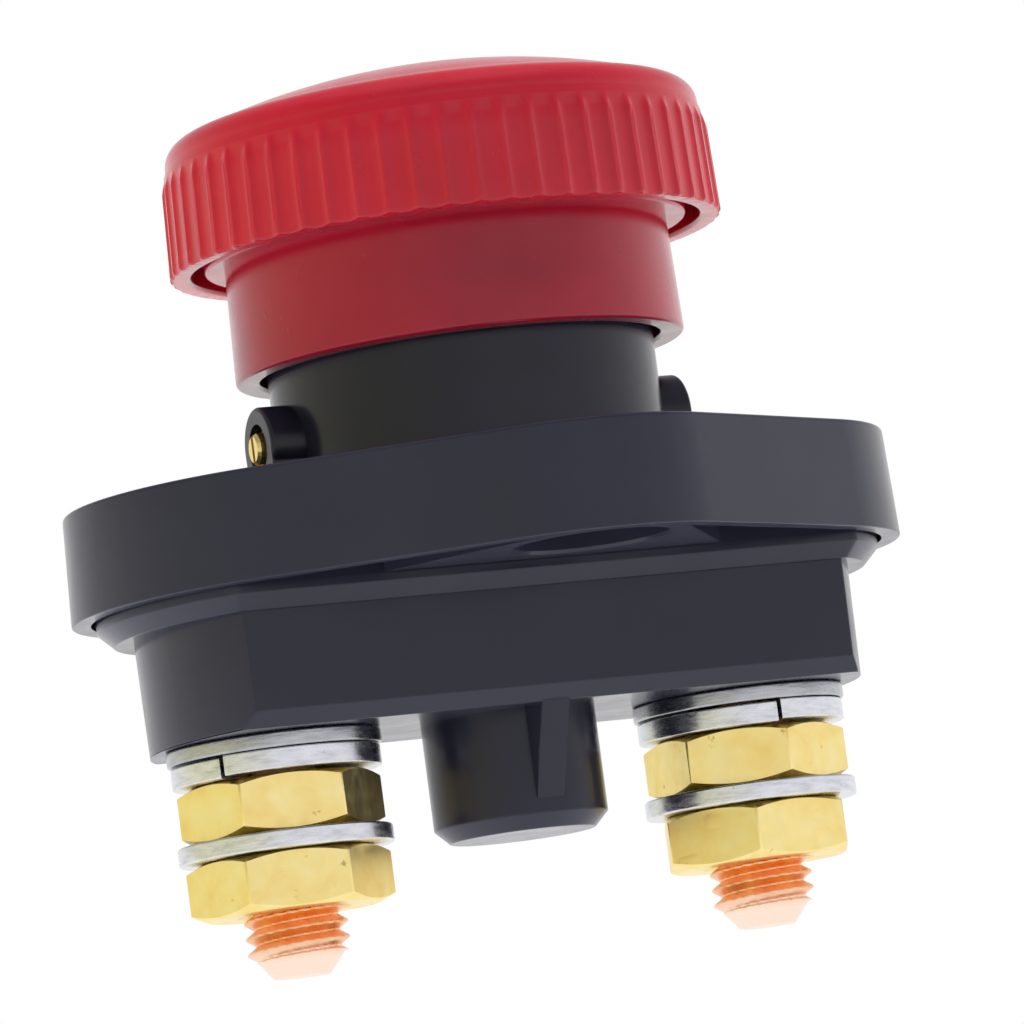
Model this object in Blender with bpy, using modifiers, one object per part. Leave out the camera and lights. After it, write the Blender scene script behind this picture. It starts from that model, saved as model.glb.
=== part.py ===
"""Push-pull battery disconnect switch with a red fluted knob and two copper terminal studs.

Units are metres. +Z runs from the panel to the knob, X along the line of the two studs.
The origin lies on the knob's axis, in the plane of the flange's lower rim, which seats on the panel.
The knob is pushed in, so the contact bridge lies over the stud heads.
"""
import math

import bmesh
import bpy
from mathutils import Matrix, Vector

# Clearances
GAP = 0.0003
TOUCH = 0.0001
CUT = 0.001

# Knob cap
KNOB_DRAFT = 0.0003
GRIP_HEIGHT = 0.0100
LIP_STEP = 0.00056
LIP_HEIGHT = 0.00324
LIP_ROUND = 0.00237
LIP_ROUND_SWEEP = 70.0
CROWN_RISE = 0.0041
KNOB_WALL = 0.0021
CROWN_WALL = 0.0022
SEAT_RING_RADIUS = 0.0200
SEAT_RING_WIDTH = 0.0025
SHOULDER_DEPTH = 0.0040
FLUTE_COUNT = 58
FLUTE_TURN = -0.85
FLUTE_RADIUS = 0.0015
FLUTE_DEPTH = 0.00045
KNOB_RIM_CHAMFER = 0.0003

# Sleeve under the cap
SLEEVE_CLEARANCE = 0.0007
SLEEVE_DRAFT = 0.0003
SLEEVE_WALL = 0.00235
SLEEVE_DROP = 0.0109
SLEEVE_LIFT = 0.00307
SLEEVE_EDGE = 0.0003
SLEEVE_DISC = 0.0030
RING_STEP = 0.0017
KNOB_GROOVE = 0.00125
RING_RECESS = 0.0003
RING_HEIGHT = 0.0082

# Screw under the cap
SCREW_RADIUS = 0.0030
SCREW_HEAD_RADIUS = 0.0052
SCREW_HEAD_HEIGHT = 0.0032
SCREW_LENGTH = 0.0150
SCREW_SOCKET_FLATS = 0.0040
SCREW_SOCKET_DEPTH = 0.0018

# Plunger, its travel and its detents
TRAVEL = 0.0080
PLUNGER_RADIUS = 0.0080
PLUNGER_CLEARANCE = 0.0003
SPINDLE_RADIUS = 0.0040
SPINDLE_FLATS = 0.0064
SPINDLE_END = 0.0203
END_CHAMFER = 0.0006
SHOULDER_LAND = 0.0008
BALL_RADIUS = 0.0021
BALL_CLEARANCE = 0.00015
GROOVE_DEPTH = 0.00095
DETENT_BORE_RADIUS = 0.0024
DETENT_SPRING_WIRE = 0.00025
DETENT_SPRING_RADIUS = 0.0016
DETENT_SPRING_TURNS = 4
PLUG_LENGTH = 0.0030
PLUG_RECESS = 0.0009
PLUG_NOSE_RADIUS = 0.00155
PLUG_NOSE_REACH = 0.0005
PLUG_SLOT_WIDTH = 0.0006
PLUG_SLOT_DEPTH = 0.0008
PLUG_CHAMFER = 0.0003

# Upper housing
FLANGE_END_MARGIN = 0.0060
FLANGE_SIDE_MARGIN = 0.0095
END_RADIUS = 0.0240
LOBE_RADIUS = 0.0178
FLANGE_HEIGHT = 0.0105
FLANGE_DRAFT = 0.0004
FLANGE_EDGE = 0.0006
FLANGE_EDGE_STEP = 0.3
FLANGE_ROOF = 0.0025
SKIRT_WALL = 0.0018
NECK_RADIUS = 0.0187
NECK_HEIGHT = 0.0240
NECK_EDGE = 0.0006
NECK_ROOT_RADIUS = 0.0009
BOSS_RADIUS = 0.0040
BOSS_LIFT = 0.00023
BOSS_LENGTH = 0.00304
BOSS_FOOT_LENGTH = 0.0012
BOSS_FOOT_HEIGHT = 0.0008
MOUNT_RADIUS = 0.0042
MOUNT_RECESS_RADIUS = 0.0073
MOUNT_RECESS_DEPTH = 0.0055
PAD_GAP = 0.0008
PAD_WALL = 0.0023
PAD_HALF_WIDTH = 0.0171
PAD_TAPER = 0.62
SEAL_DEPTH = 0.0035
SEAL_SECTION = 0.00095
SEAL_CLEARANCE = 0.0002

# Lower housing
LEDGE_GAP = 0.0005
LEDGE_STEP = 0.0019
LEDGE_DROP = 0.0023
LEDGE_CHAMFER = 0.0015
HEAD_WALL_GAP = 0.0007
BOX_HALF_WIDTH = 0.0145
BOX_END_RADIUS = 0.0246
BOX_DEPTH = 0.0131
BOX_CHAMFER = 0.0015
BOX_DRAFT = 0.0002
BOX_WALL = 0.0030
BOX_FLOOR = 0.0036
POST_RADIUS = 0.0084
POST_BORE_RUN = 0.0015
POST_FLOOR = 0.0027
POST_CHAMFER = 0.0014
RIB_THICKNESS = 0.0028
RIB_STEP = 0.0027
GASKET_THICKNESS = 0.0008
GASKET_WIDTH = 0.0016
GASKET_INSET = 0.0016

# Contacts
BRIDGE_OVERHANG = 0.0060
BRIDGE_HALF_WIDTH = 0.0060
BRIDGE_THICKNESS = 0.0030
BRIDGE_EDGE = 0.0004
SPRING_WIRE = 0.0006
SPRING_RADIUS = 0.0062
SPRING_TURNS = 3
CLIP_RADIUS = 0.0068
CLIP_THICKNESS = 0.0010
CLIP_GROOVE_DEPTH = 0.0008
CLIP_OPENING = 0.0040

# Studs and their stacks
STUD_SPACING = 0.0480
STUD_RADIUS = 0.0049
STUD_PROTRUSION = 0.0061
STUD_TIP_RADIUS = 0.0027
STUD_TAPER_START = 0.0043
STUD_TAPER = 0.0020
HEAD_FLATS = 0.0130
HEAD_HEIGHT = 0.0040
HEAD_POCKET = 0.0010
WASHER_RADIUS = 0.01025
WASHER_EDGE = 0.0002
INNER_WASHER_THICKNESS = 0.0012
LOCK_WASHER_RADIUS = 0.0100
LOCK_WASHER_THICKNESS = 0.0017
LOCK_WASHER_RISE = 0.0002
LOCK_WASHER_OPENING = 2.5
LOCK_WASHER_TURNS = {"left": 220.0, "right": 269.5}
OUTER_WASHER_THICKNESS = 0.0015
NUT_FLATS = 0.0170
NUT_HEIGHT = 0.00515
NUT_CHAMFER_ANGLE = 25.0
NUT_FACE_RADIUS = 0.0082
NUT_TURNS = {
    "inner_nut_left": 48.0,
    "outer_nut_left": 46.0,
    "inner_nut_right": 33.0,
    "outer_nut_right": 9.0,
}

# Colours and surfaces
RED = (0.62, 0.035, 0.055)
CRIMSON = (0.42, 0.030, 0.050)
BLACK = (0.035, 0.036, 0.045)
ACETAL = (0.60, 0.58, 0.53)
RUBBER = (0.020, 0.020, 0.021)
ZINC = (0.62, 0.63, 0.65)
STEEL = (0.50, 0.50, 0.52)
BRASS = (0.78, 0.62, 0.22)
COPPER = (0.85, 0.38, 0.20)
PLASTIC_ROUGHNESS = 0.42
SOFT_ROUGHNESS = 0.70
METAL_ROUGHNESS = 0.28
SHARP_ANGLE = 40.0

# Facets
KNOB_STEPS = FLUTE_COUNT
FLUTE_SIDES = 12
LIP_STEPS = 3
WIDE_STEPS = 36
ROUND_STEPS = 28
SMALL_STEPS = 20
NUT_STEPS = 24
NECK_ROOT_STEPS = 3
END_ARC_STEPS = 12
LOBE_ARC_STEPS = 10
BAR_ARC_STEPS = 10
GROOVE_STEPS = 3
CROWN_STEPS = 3
UNDER_CROWN_STEPS = 1
SEAL_SIDES = 6
BALL_SEGMENTS = 12
BALL_RINGS = 8
SPRING_POINTS = 12
DETENT_SPRING_POINTS = 8
WIRE_ROUNDNESS = 1

# Lengths and radii worked out from the sizes above
STUD_X = STUD_SPACING / 2
BRIDGE_HALF_LENGTH = STUD_X + BRIDGE_OVERHANG
BOX_HALF_LENGTH = STUD_X + HEAD_FLATS / math.sqrt(3) + HEAD_WALL_GAP + BOX_WALL
HALF_LENGTH = BOX_HALF_LENGTH + FLANGE_END_MARGIN
LEDGE_HALF_WIDTH = BOX_HALF_WIDTH + LEDGE_STEP
PAD_INNER = LEDGE_HALF_WIDTH + PAD_GAP
MOUNT_OFFSET = PAD_INNER + PAD_WALL + MOUNT_RECESS_RADIUS
HALF_WIDTH = MOUNT_OFFSET + FLANGE_SIDE_MARGIN
BOSS_REACH = NECK_RADIUS + BOSS_LENGTH
BALL_X = PLUNGER_RADIUS + BALL_CLEARANCE + BALL_RADIUS
SLEEVE_RADIUS = NECK_RADIUS + SLEEVE_CLEARANCE + SLEEVE_WALL
FLANGE_RING_RADIUS = SLEEVE_RADIUS + RING_STEP
KNOB_RADIUS = FLANGE_RING_RADIUS + KNOB_GROOVE + KNOB_WALL
GRIP_TOP_RADIUS = KNOB_RADIUS - KNOB_DRAFT
LIP_RADIUS = GRIP_TOP_RADIUS - LIP_STEP - LIP_ROUND
CROWN_RADIUS = (LIP_RADIUS ** 2 + CROWN_RISE ** 2) / (2 * CROWN_RISE)

# Heights worked out from the sizes above
DETENT_HEIGHT = FLANGE_HEIGHT + BOSS_LIFT + BOSS_RADIUS
NECK_TOP = FLANGE_HEIGHT + NECK_HEIGHT
SEAL_HEIGHT = NECK_TOP - SEAL_DEPTH
SLEEVE_BOTTOM = DETENT_HEIGHT + BOSS_RADIUS + SLEEVE_LIFT
KNOB_LIFT = SLEEVE_BOTTOM + SLEEVE_DROP
KNOB_GRIP_TOP = KNOB_LIFT + GRIP_HEIGHT
KNOB_LIP_TOP = KNOB_GRIP_TOP + LIP_HEIGHT
CROWN_TOP = KNOB_LIP_TOP + CROWN_RISE
RING_BOTTOM = KNOB_LIFT + RING_RECESS
SLEEVE_TOP = RING_BOTTOM + RING_HEIGHT
SLEEVE_DISC_BOTTOM = SLEEVE_TOP - SLEEVE_DISC
PLUNGER_TOP = SLEEVE_DISC_BOTTOM - GAP
GROOVE_RADIUS = BALL_RADIUS + GAP
GROOVE_CENTRE = PLUNGER_RADIUS + GROOVE_RADIUS - GROOVE_DEPTH
GROOVE_HALF_WIDTH = math.sqrt(GROOVE_RADIUS ** 2 - (GROOVE_CENTRE - PLUNGER_RADIUS) ** 2)
PULLED_GROOVE = DETENT_HEIGHT - TRAVEL
SHOULDER = PULLED_GROOVE - GROOVE_HALF_WIDTH - SHOULDER_LAND
CEILING = FLANGE_HEIGHT - FLANGE_ROOF
LOWER_TOP = CEILING - GASKET_THICKNESS - 2 * GAP
FLOOR = -BOX_DEPTH + BOX_FLOOR
POST_BORE_END = SPINDLE_END + POST_BORE_RUN
POST_DEPTH = POST_BORE_END + POST_FLOOR
RIB_FOOT = POST_DEPTH - RIB_STEP
HEAD_BOTTOM = FLOOR - HEAD_POCKET + GAP
CONTACT_FACE = HEAD_BOTTOM + HEAD_HEIGHT
BRIDGE_BOTTOM = CONTACT_FACE + GAP
BRIDGE_TOP = BRIDGE_BOTTOM + BRIDGE_THICKNESS
CLIP_TOP = BRIDGE_BOTTOM - GAP
STACK_TOP = -BOX_DEPTH - GAP
LOCK_WASHER_TOP = STACK_TOP - INNER_WASHER_THICKNESS - GAP
INNER_NUT_TOP = LOCK_WASHER_TOP - LOCK_WASHER_THICKNESS - LOCK_WASHER_RISE - GAP
OUTER_WASHER_TOP = INNER_NUT_TOP - NUT_HEIGHT - GAP
OUTER_NUT_TOP = OUTER_WASHER_TOP - OUTER_WASHER_THICKNESS - GAP
STUD_BOTTOM = OUTER_NUT_TOP - NUT_HEIGHT - STUD_PROTRUSION

COLLECTION_NAME = "battery_disconnect_switch"
CUTTER_COLLECTION_NAME = "cutters"
MERGE = 0.00001


def clear_scene():
    for item in list(bpy.context.scene.objects):
        bpy.data.objects.remove(item, do_unlink=True)


def make_collection(name):
    collection = bpy.data.collections.new(name)
    bpy.context.scene.collection.children.link(collection)
    return collection


def make_material(name, colour, roughness, metallic=0.0):
    material = bpy.data.materials.new(name)
    material.use_nodes = True
    shader = material.node_tree.nodes["Principled BSDF"]
    shader.inputs["Base Color"].default_value = (*colour, 1.0)
    shader.inputs["Roughness"].default_value = roughness
    shader.inputs["Metallic"].default_value = metallic
    material.diffuse_color = (*colour, 1.0)
    return material


def add_part(name, mesh, colour, roughness, metallic=0.0):
    """Adds one piece of the switch with a material of its own."""
    if not mesh.materials:
        mesh.materials.append(make_material(name, colour, roughness, metallic))
    part = bpy.data.objects.new(name, mesh)
    PARTS.objects.link(part)
    return part


def add_cutter(name, mesh):
    """Adds a tool shape, which is not part of the switch."""
    cutter = bpy.data.objects.new(name, mesh)
    CUTTERS.objects.link(cutter)
    cutter.display_type = 'WIRE'
    cutter.hide_render = True
    return cutter


def boolean(target, tool, operation='DIFFERENCE'):
    modifier = target.modifiers.new(tool.name, 'BOOLEAN')
    modifier.operation = operation
    modifier.solver = 'EXACT'
    modifier.object = tool


def shade_round(mesh):
    mesh.shade_smooth()
    mesh.set_sharp_from_angle(angle=math.radians(SHARP_ANGLE))


def mesh_from(bm, name):
    bmesh.ops.recalc_face_normals(bm, faces=bm.faces)
    mesh = bpy.data.meshes.new(name)
    bm.to_mesh(mesh)
    bm.free()
    shade_round(mesh)
    return mesh


def profile_mesh(name, points, closed):
    """Makes the edges of a profile of (radius, height) points in the XZ plane."""
    mesh = bpy.data.meshes.new(name)
    edges = [(i, i + 1) for i in range(len(points) - 1)]
    if closed:
        edges.append((len(points) - 1, 0))
    mesh.from_pydata([(radius, 0.0, height) for radius, height in points], edges, [])
    return mesh


def turn(item, steps):
    """Turns an object's profile around its Z axis."""
    screw = item.modifiers.new("turned", 'SCREW')
    screw.axis = 'Z'
    screw.angle = 2 * math.pi
    screw.steps = steps
    screw.render_steps = steps
    screw.use_merge_vertices = True
    screw.merge_threshold = MERGE
    screw.use_smooth_shade = True
    return item


def arc(centre_x, centre_y, radius, start, end, steps):
    """Points on an arc, from the start angle to the end angle in radians."""
    points = []
    for i in range(steps + 1):
        angle = start + (end - start) * i / steps
        points.append((centre_x + radius * math.cos(angle), centre_y + radius * math.sin(angle)))
    return points


def diamond_outline(inset):
    """The flange's outline: two end arcs and two lobe arcs, joined by their common tangents."""
    end_x = HALF_LENGTH - END_RADIUS
    lobe_y = HALF_WIDTH - LOBE_RADIUS
    span = math.hypot(end_x, lobe_y)
    turn_angle = math.atan2(lobe_y, -end_x) - math.acos((END_RADIUS - LOBE_RADIUS) / span)
    end = END_RADIUS - inset
    lobe = LOBE_RADIUS - inset
    points = arc(end_x, 0.0, end, -turn_angle, turn_angle, END_ARC_STEPS)
    points += arc(0.0, lobe_y, lobe, turn_angle, math.pi - turn_angle, LOBE_ARC_STEPS)
    points += arc(-end_x, 0.0, end, math.pi - turn_angle, math.pi + turn_angle, END_ARC_STEPS)
    points += arc(0.0, -lobe_y, lobe, math.pi + turn_angle, 2 * math.pi - turn_angle, LOBE_ARC_STEPS)
    return points


def bar_outline(half_length, half_width, end_radius, inset=0.0):
    """A bar with straight sides and ends that are arcs, shrunk by the inset all round."""
    radius = end_radius - inset
    limit = math.asin(min(1.0, (half_width - inset) / radius))
    centre = half_length - end_radius
    points = arc(centre, 0.0, radius, -limit, limit, BAR_ARC_STEPS)
    points += arc(-centre, 0.0, radius, math.pi - limit, math.pi + limit, BAR_ARC_STEPS)
    return points


def hexagon(flats):
    corner = flats / math.sqrt(3)
    return [(corner * math.cos(math.pi * i / 3), corner * math.sin(math.pi * i / 3)) for i in range(6)]


def loft(name, sections):
    """Makes a solid through (outline, height) sections that have equally many points."""
    bm = bmesh.new()
    rings = [[bm.verts.new((x, y, height)) for x, y in outline] for outline, height in sections]
    bm.faces.new(rings[0][::-1])
    bm.faces.new(rings[-1])
    for low, high in zip(rings, rings[1:]):
        for i in range(len(low)):
            following = (i + 1) % len(low)
            bm.faces.new((low[i], low[following], high[following], high[i]))
    return mesh_from(bm, name)


def block(name, size, centre):
    bm = bmesh.new()
    bmesh.ops.create_cube(bm, size=1.0)
    bmesh.ops.scale(bm, vec=Vector(size), verts=bm.verts)
    bmesh.ops.translate(bm, vec=Vector(centre), verts=bm.verts)
    return mesh_from(bm, name)


def rod(name, radius, length, centre, steps, along='Z'):
    """A plain cylinder around a point, along X, Y or Z."""
    turns = {
        'X': Matrix.Rotation(math.pi / 2, 4, 'Y'),
        'Y': Matrix.Rotation(math.pi / 2, 4, 'X'),
        'Z': Matrix.Identity(4),
    }
    bm = bmesh.new()
    bmesh.ops.create_cone(
        bm, cap_ends=True, segments=steps, radius1=radius, radius2=radius, depth=length,
        matrix=Matrix.Translation(centre) @ turns[along])
    return mesh_from(bm, name)


def coil_mesh(name, mean_radius, wire, length, turns, points_per_turn):
    """A round wire spring along +Z from its own origin, as a closed mesh."""
    curve = bpy.data.curves.new(name, 'CURVE')
    curve.dimensions = '3D'
    curve.bevel_depth = wire
    curve.bevel_resolution = WIRE_ROUNDNESS
    curve.use_fill_caps = True
    count = turns * points_per_turn
    spline = curve.splines.new('POLY')
    spline.points.add(count)
    for i, point in enumerate(spline.points):
        angle = 2 * math.pi * i / points_per_turn
        height = length * i / count
        point.co = (mean_radius * math.cos(angle), mean_radius * math.sin(angle), height, 1.0)
    guide = bpy.data.objects.new(name + "_wire", curve)
    CUTTERS.objects.link(guide)
    bpy.context.view_layer.update()
    evaluated = guide.evaluated_get(bpy.context.evaluated_depsgraph_get())
    mesh = bpy.data.meshes.new_from_object(evaluated)
    bpy.data.objects.remove(guide, do_unlink=True)
    bm = bmesh.new()
    bm.from_mesh(mesh)
    bmesh.ops.remove_doubles(bm, verts=bm.verts, dist=MERGE)
    bpy.data.meshes.remove(mesh)
    return mesh_from(bm, name)


def crown_arc(radius, steps, outer, inner=0.0):
    """Points of a dome of this radius, centred on the crown's own centre, from one radius to another."""
    start = math.asin(inner / radius)
    end = math.asin(outer / radius)
    points = []
    for i in range(steps + 1):
        angle = start + (end - start) * i / steps
        points.append((radius * math.sin(angle), CROWN_TOP - CROWN_RADIUS + radius * math.cos(angle)))
    return points


def knob_cap():
    """The red cap: crowned top, smooth lip, fluted band, and a seat ring inside."""
    inner = KNOB_RADIUS - KNOB_WALL
    register = FLANGE_RING_RADIUS + GAP
    seat = SLEEVE_TOP + GAP
    shoulder = SLEEVE_TOP - SHOULDER_DEPTH
    seat_inner = SEAT_RING_RADIUS - SEAT_RING_WIDTH
    under = CROWN_RADIUS - CROWN_WALL
    profile = crown_arc(CROWN_RADIUS, CROWN_STEPS, LIP_RADIUS)
    sweep = math.radians(LIP_ROUND_SWEEP)
    profile += arc(LIP_RADIUS, KNOB_LIP_TOP - LIP_ROUND, LIP_ROUND, sweep, 0.0, LIP_STEPS)
    profile += [
        (LIP_RADIUS + LIP_ROUND, KNOB_GRIP_TOP),
        (GRIP_TOP_RADIUS, KNOB_GRIP_TOP),
        (KNOB_RADIUS, KNOB_LIFT + KNOB_RIM_CHAMFER),
        (KNOB_RADIUS - KNOB_RIM_CHAMFER, KNOB_LIFT),
        (inner, KNOB_LIFT),
        (inner, shoulder),
        (register, shoulder),
    ]
    profile += crown_arc(under, 1, register, SEAT_RING_RADIUS)[::-1]
    profile += [(SEAT_RING_RADIUS, seat), (seat_inner, seat)]
    profile += crown_arc(under, UNDER_CROWN_STEPS, seat_inner)[::-1]
    part = add_part("knob_cap", profile_mesh("knob_cap", profile, False), RED, PLASTIC_ROUGHNESS)
    turn(part, KNOB_STEPS)
    flutes = knob_flutes()
    boolean(part, flutes)
    part.rotation_euler.z = flutes.rotation_euler.z = math.radians(FLUTE_TURN)
    return part


def knob_flutes():
    """One tool shape with a leaning flute for each groove of the grip band."""
    lean = math.atan2(KNOB_DRAFT, GRIP_HEIGHT)
    length = GRIP_HEIGHT + CUT
    face_turn = math.pi / FLUTE_SIDES
    reach = FLUTE_RADIUS / math.cos(face_turn)
    bm = bmesh.new()
    for i in range(FLUTE_COUNT):
        spin = Matrix.Rotation(2 * math.pi * i / FLUTE_COUNT, 4, 'Z')
        place = Matrix.Translation((KNOB_RADIUS + FLUTE_RADIUS - FLUTE_DEPTH, 0.0, KNOB_LIFT))
        tilt = Matrix.Rotation(-lean, 4, 'Y') @ Matrix.Rotation(face_turn, 4, 'Z')
        rise = Matrix.Translation((0.0, 0.0, length / 2 - CUT))
        bmesh.ops.create_cone(
            bm, cap_ends=True, segments=FLUTE_SIDES, radius1=reach, radius2=reach,
            depth=length, matrix=spin @ place @ tilt @ rise)
    return add_cutter("knob_flutes", mesh_from(bm, "knob_flutes"))


def knob_sleeve():
    """The red cup that guides the knob on the neck and carries the cap on its ring."""
    bore = SLEEVE_RADIUS - SLEEVE_WALL
    hole = SCREW_RADIUS + GAP
    profile = [
        (hole, SLEEVE_TOP),
        (FLANGE_RING_RADIUS, SLEEVE_TOP),
        (FLANGE_RING_RADIUS, RING_BOTTOM),
        (SLEEVE_RADIUS - SLEEVE_DRAFT, RING_BOTTOM),
        (SLEEVE_RADIUS, SLEEVE_BOTTOM + SLEEVE_EDGE),
        (SLEEVE_RADIUS - SLEEVE_EDGE, SLEEVE_BOTTOM),
        (bore + SLEEVE_EDGE, SLEEVE_BOTTOM),
        (bore, SLEEVE_BOTTOM + SLEEVE_EDGE),
        (bore, SLEEVE_DISC_BOTTOM),
        (hole, SLEEVE_DISC_BOTTOM),
    ]
    part = add_part("knob_sleeve", profile_mesh("knob_sleeve", profile, True), CRIMSON, PLASTIC_ROUGHNESS)
    return turn(part, WIDE_STEPS)


def knob_screw():
    """The socket screw that holds the sleeve on the plunger."""
    under_head = SLEEVE_TOP + GAP
    top = under_head + SCREW_HEAD_HEIGHT
    end = under_head - SCREW_LENGTH
    profile = [
        (0.0, top),
        (SCREW_HEAD_RADIUS - END_CHAMFER, top),
        (SCREW_HEAD_RADIUS, top - END_CHAMFER),
        (SCREW_HEAD_RADIUS, under_head),
        (SCREW_RADIUS, under_head),
        (SCREW_RADIUS, end + END_CHAMFER),
        (SCREW_RADIUS - END_CHAMFER, end),
        (0.0, end),
    ]
    part = add_part("knob_screw", profile_mesh("knob_screw", profile, False), STEEL, METAL_ROUGHNESS, 1.0)
    turn(part, SMALL_STEPS)
    socket = hexagon(SCREW_SOCKET_FLATS)
    sections = [(socket, top - SCREW_SOCKET_DEPTH), (socket, top + CUT)]
    boolean(part, add_cutter("screw_socket", loft("screw_socket", sections)))
    return part


def groove(height):
    """A detent groove's points in the plunger's profile, from top to bottom."""
    spread = math.asin(GROOVE_HALF_WIDTH / GROOVE_RADIUS)
    return arc(GROOVE_CENTRE, height, GROOVE_RADIUS, math.pi - spread, math.pi + spread, GROOVE_STEPS)


def plunger():
    """The keyed plunger: detent grooves above, a spindle with two flats below."""
    hole = SCREW_RADIUS + GAP
    hole_end = SLEEVE_TOP - SCREW_LENGTH - GAP
    groove_radius = SPINDLE_RADIUS - CLIP_GROOVE_DEPTH
    clip_bottom = CLIP_TOP - CLIP_THICKNESS
    profile = [
        (0.0, hole_end),
        (hole, hole_end),
        (hole, PLUNGER_TOP),
        (PLUNGER_RADIUS, PLUNGER_TOP),
    ]
    profile += groove(DETENT_HEIGHT)
    profile += groove(PULLED_GROOVE)
    profile += [
        (PLUNGER_RADIUS, SHOULDER),
        (SPINDLE_RADIUS, SHOULDER),
        (SPINDLE_RADIUS, CLIP_TOP + TOUCH),
        (groove_radius, CLIP_TOP + TOUCH),
        (groove_radius, clip_bottom - TOUCH),
        (SPINDLE_RADIUS, clip_bottom - TOUCH),
        (SPINDLE_RADIUS, END_CHAMFER - SPINDLE_END),
        (SPINDLE_RADIUS - END_CHAMFER, -SPINDLE_END),
        (0.0, -SPINDLE_END),
    ]
    part = add_part("plunger", profile_mesh("plunger", profile, False), ACETAL, PLASTIC_ROUGHNESS)
    turn(part, ROUND_STEPS)
    height = SHOULDER + SPINDLE_END + CUT
    depth = SPINDLE_RADIUS
    for side in (-1, 1):
        name = "spindle_flat_front" if side < 0 else "spindle_flat_back"
        centre = (0.0, side * (SPINDLE_FLATS + depth) / 2, SHOULDER - height / 2)
        boolean(part, add_cutter(name, block(name, (4 * SPINDLE_RADIUS, depth, height), centre)))
    return part


def contact_bridge():
    """The copper bar over the stud heads, with a slot that keys it to the spindle."""
    outline = bar_outline(BRIDGE_HALF_LENGTH, BRIDGE_HALF_WIDTH, BRIDGE_HALF_WIDTH)
    eased = bar_outline(BRIDGE_HALF_LENGTH, BRIDGE_HALF_WIDTH, BRIDGE_HALF_WIDTH, BRIDGE_EDGE)
    sections = [
        (eased, BRIDGE_BOTTOM),
        (outline, BRIDGE_BOTTOM + BRIDGE_EDGE),
        (outline, BRIDGE_TOP - BRIDGE_EDGE),
        (eased, BRIDGE_TOP),
    ]
    part = add_part("contact_bridge", loft("contact_bridge", sections), COPPER, METAL_ROUGHNESS, 1.0)
    size = (2 * (SPINDLE_RADIUS + GAP), SPINDLE_FLATS + 2 * GAP, BRIDGE_THICKNESS + 2 * CUT)
    centre = (0.0, 0.0, (BRIDGE_TOP + BRIDGE_BOTTOM) / 2)
    boolean(part, add_cutter("bridge_slot", block("bridge_slot", size, centre)))
    return part


def contact_spring():
    """The over-travel spring between the bridge and the plunger's shoulder."""
    start = BRIDGE_TOP + GAP + SPRING_WIRE
    length = SHOULDER - GAP - SPRING_WIRE - start
    mesh = coil_mesh("contact_spring", SPRING_RADIUS, SPRING_WIRE, length, SPRING_TURNS, SPRING_POINTS)
    part = add_part("contact_spring", mesh, STEEL, METAL_ROUGHNESS, 1.0)
    part.location.z = start
    return part


def retaining_clip():
    """The open clip in the spindle's groove, under the bridge."""
    inner = SPINDLE_RADIUS - CLIP_GROOVE_DEPTH + 2 * TOUCH
    profile = [
        (inner, CLIP_TOP),
        (CLIP_RADIUS, CLIP_TOP),
        (CLIP_RADIUS, CLIP_TOP - CLIP_THICKNESS),
        (inner, CLIP_TOP - CLIP_THICKNESS),
    ]
    mesh = profile_mesh("retaining_clip", profile, True)
    part = add_part("retaining_clip", mesh, STEEL, METAL_ROUGHNESS, 1.0)
    turn(part, ROUND_STEPS)
    size = (CLIP_OPENING, CLIP_RADIUS + CUT, CLIP_THICKNESS + 2 * CUT)
    centre = (0.0, size[1] / 2, CLIP_TOP - CLIP_THICKNESS / 2)
    boolean(part, add_cutter("clip_opening", block("clip_opening", size, centre)))
    return part


def flange_draft(height):
    return FLANGE_DRAFT * height / FLANGE_HEIGHT


def skirt_cavity():
    """The hollow inside the skirt, which leaves a solid pad around each mounting hole."""
    low = diamond_outline(SKIRT_WALL - flange_draft(CUT))
    high = diamond_outline(SKIRT_WALL + flange_draft(CEILING))
    cavity = add_cutter("skirt_cavity", loft("skirt_cavity", [(low, -CUT), (high, CEILING)]))
    reach = HALF_WIDTH + CUT
    narrow = PAD_HALF_WIDTH - PAD_TAPER * (reach - PAD_INNER)
    for side in (-1, 1):
        name = "mount_pad_front" if side < 0 else "mount_pad_back"
        corners = [
            (-side * PAD_HALF_WIDTH, side * PAD_INNER),
            (side * PAD_HALF_WIDTH, side * PAD_INNER),
            (side * narrow, side * reach),
            (-side * narrow, side * reach),
        ]
        boolean(cavity, add_cutter(name, loft(name, [(corners, -2 * CUT), (corners, CEILING + CUT)])))
    return cavity


def neck():
    """The guide tube above the flange, with a fillet at its foot."""
    root = FLANGE_HEIGHT - FLANGE_ROOF / 2
    foot = NECK_RADIUS + NECK_ROOT_RADIUS
    profile = [
        (0.0, NECK_TOP),
        (NECK_RADIUS - NECK_EDGE, NECK_TOP),
        (NECK_RADIUS, NECK_TOP - NECK_EDGE),
    ]
    profile += arc(foot, FLANGE_HEIGHT + NECK_ROOT_RADIUS, NECK_ROOT_RADIUS, math.pi, math.pi * 3 / 2,
                   NECK_ROOT_STEPS)
    profile += [
        (foot, root),
        (0.0, root),
    ]
    return turn(add_cutter("neck", profile_mesh("neck", profile, False)), WIDE_STEPS)


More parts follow.
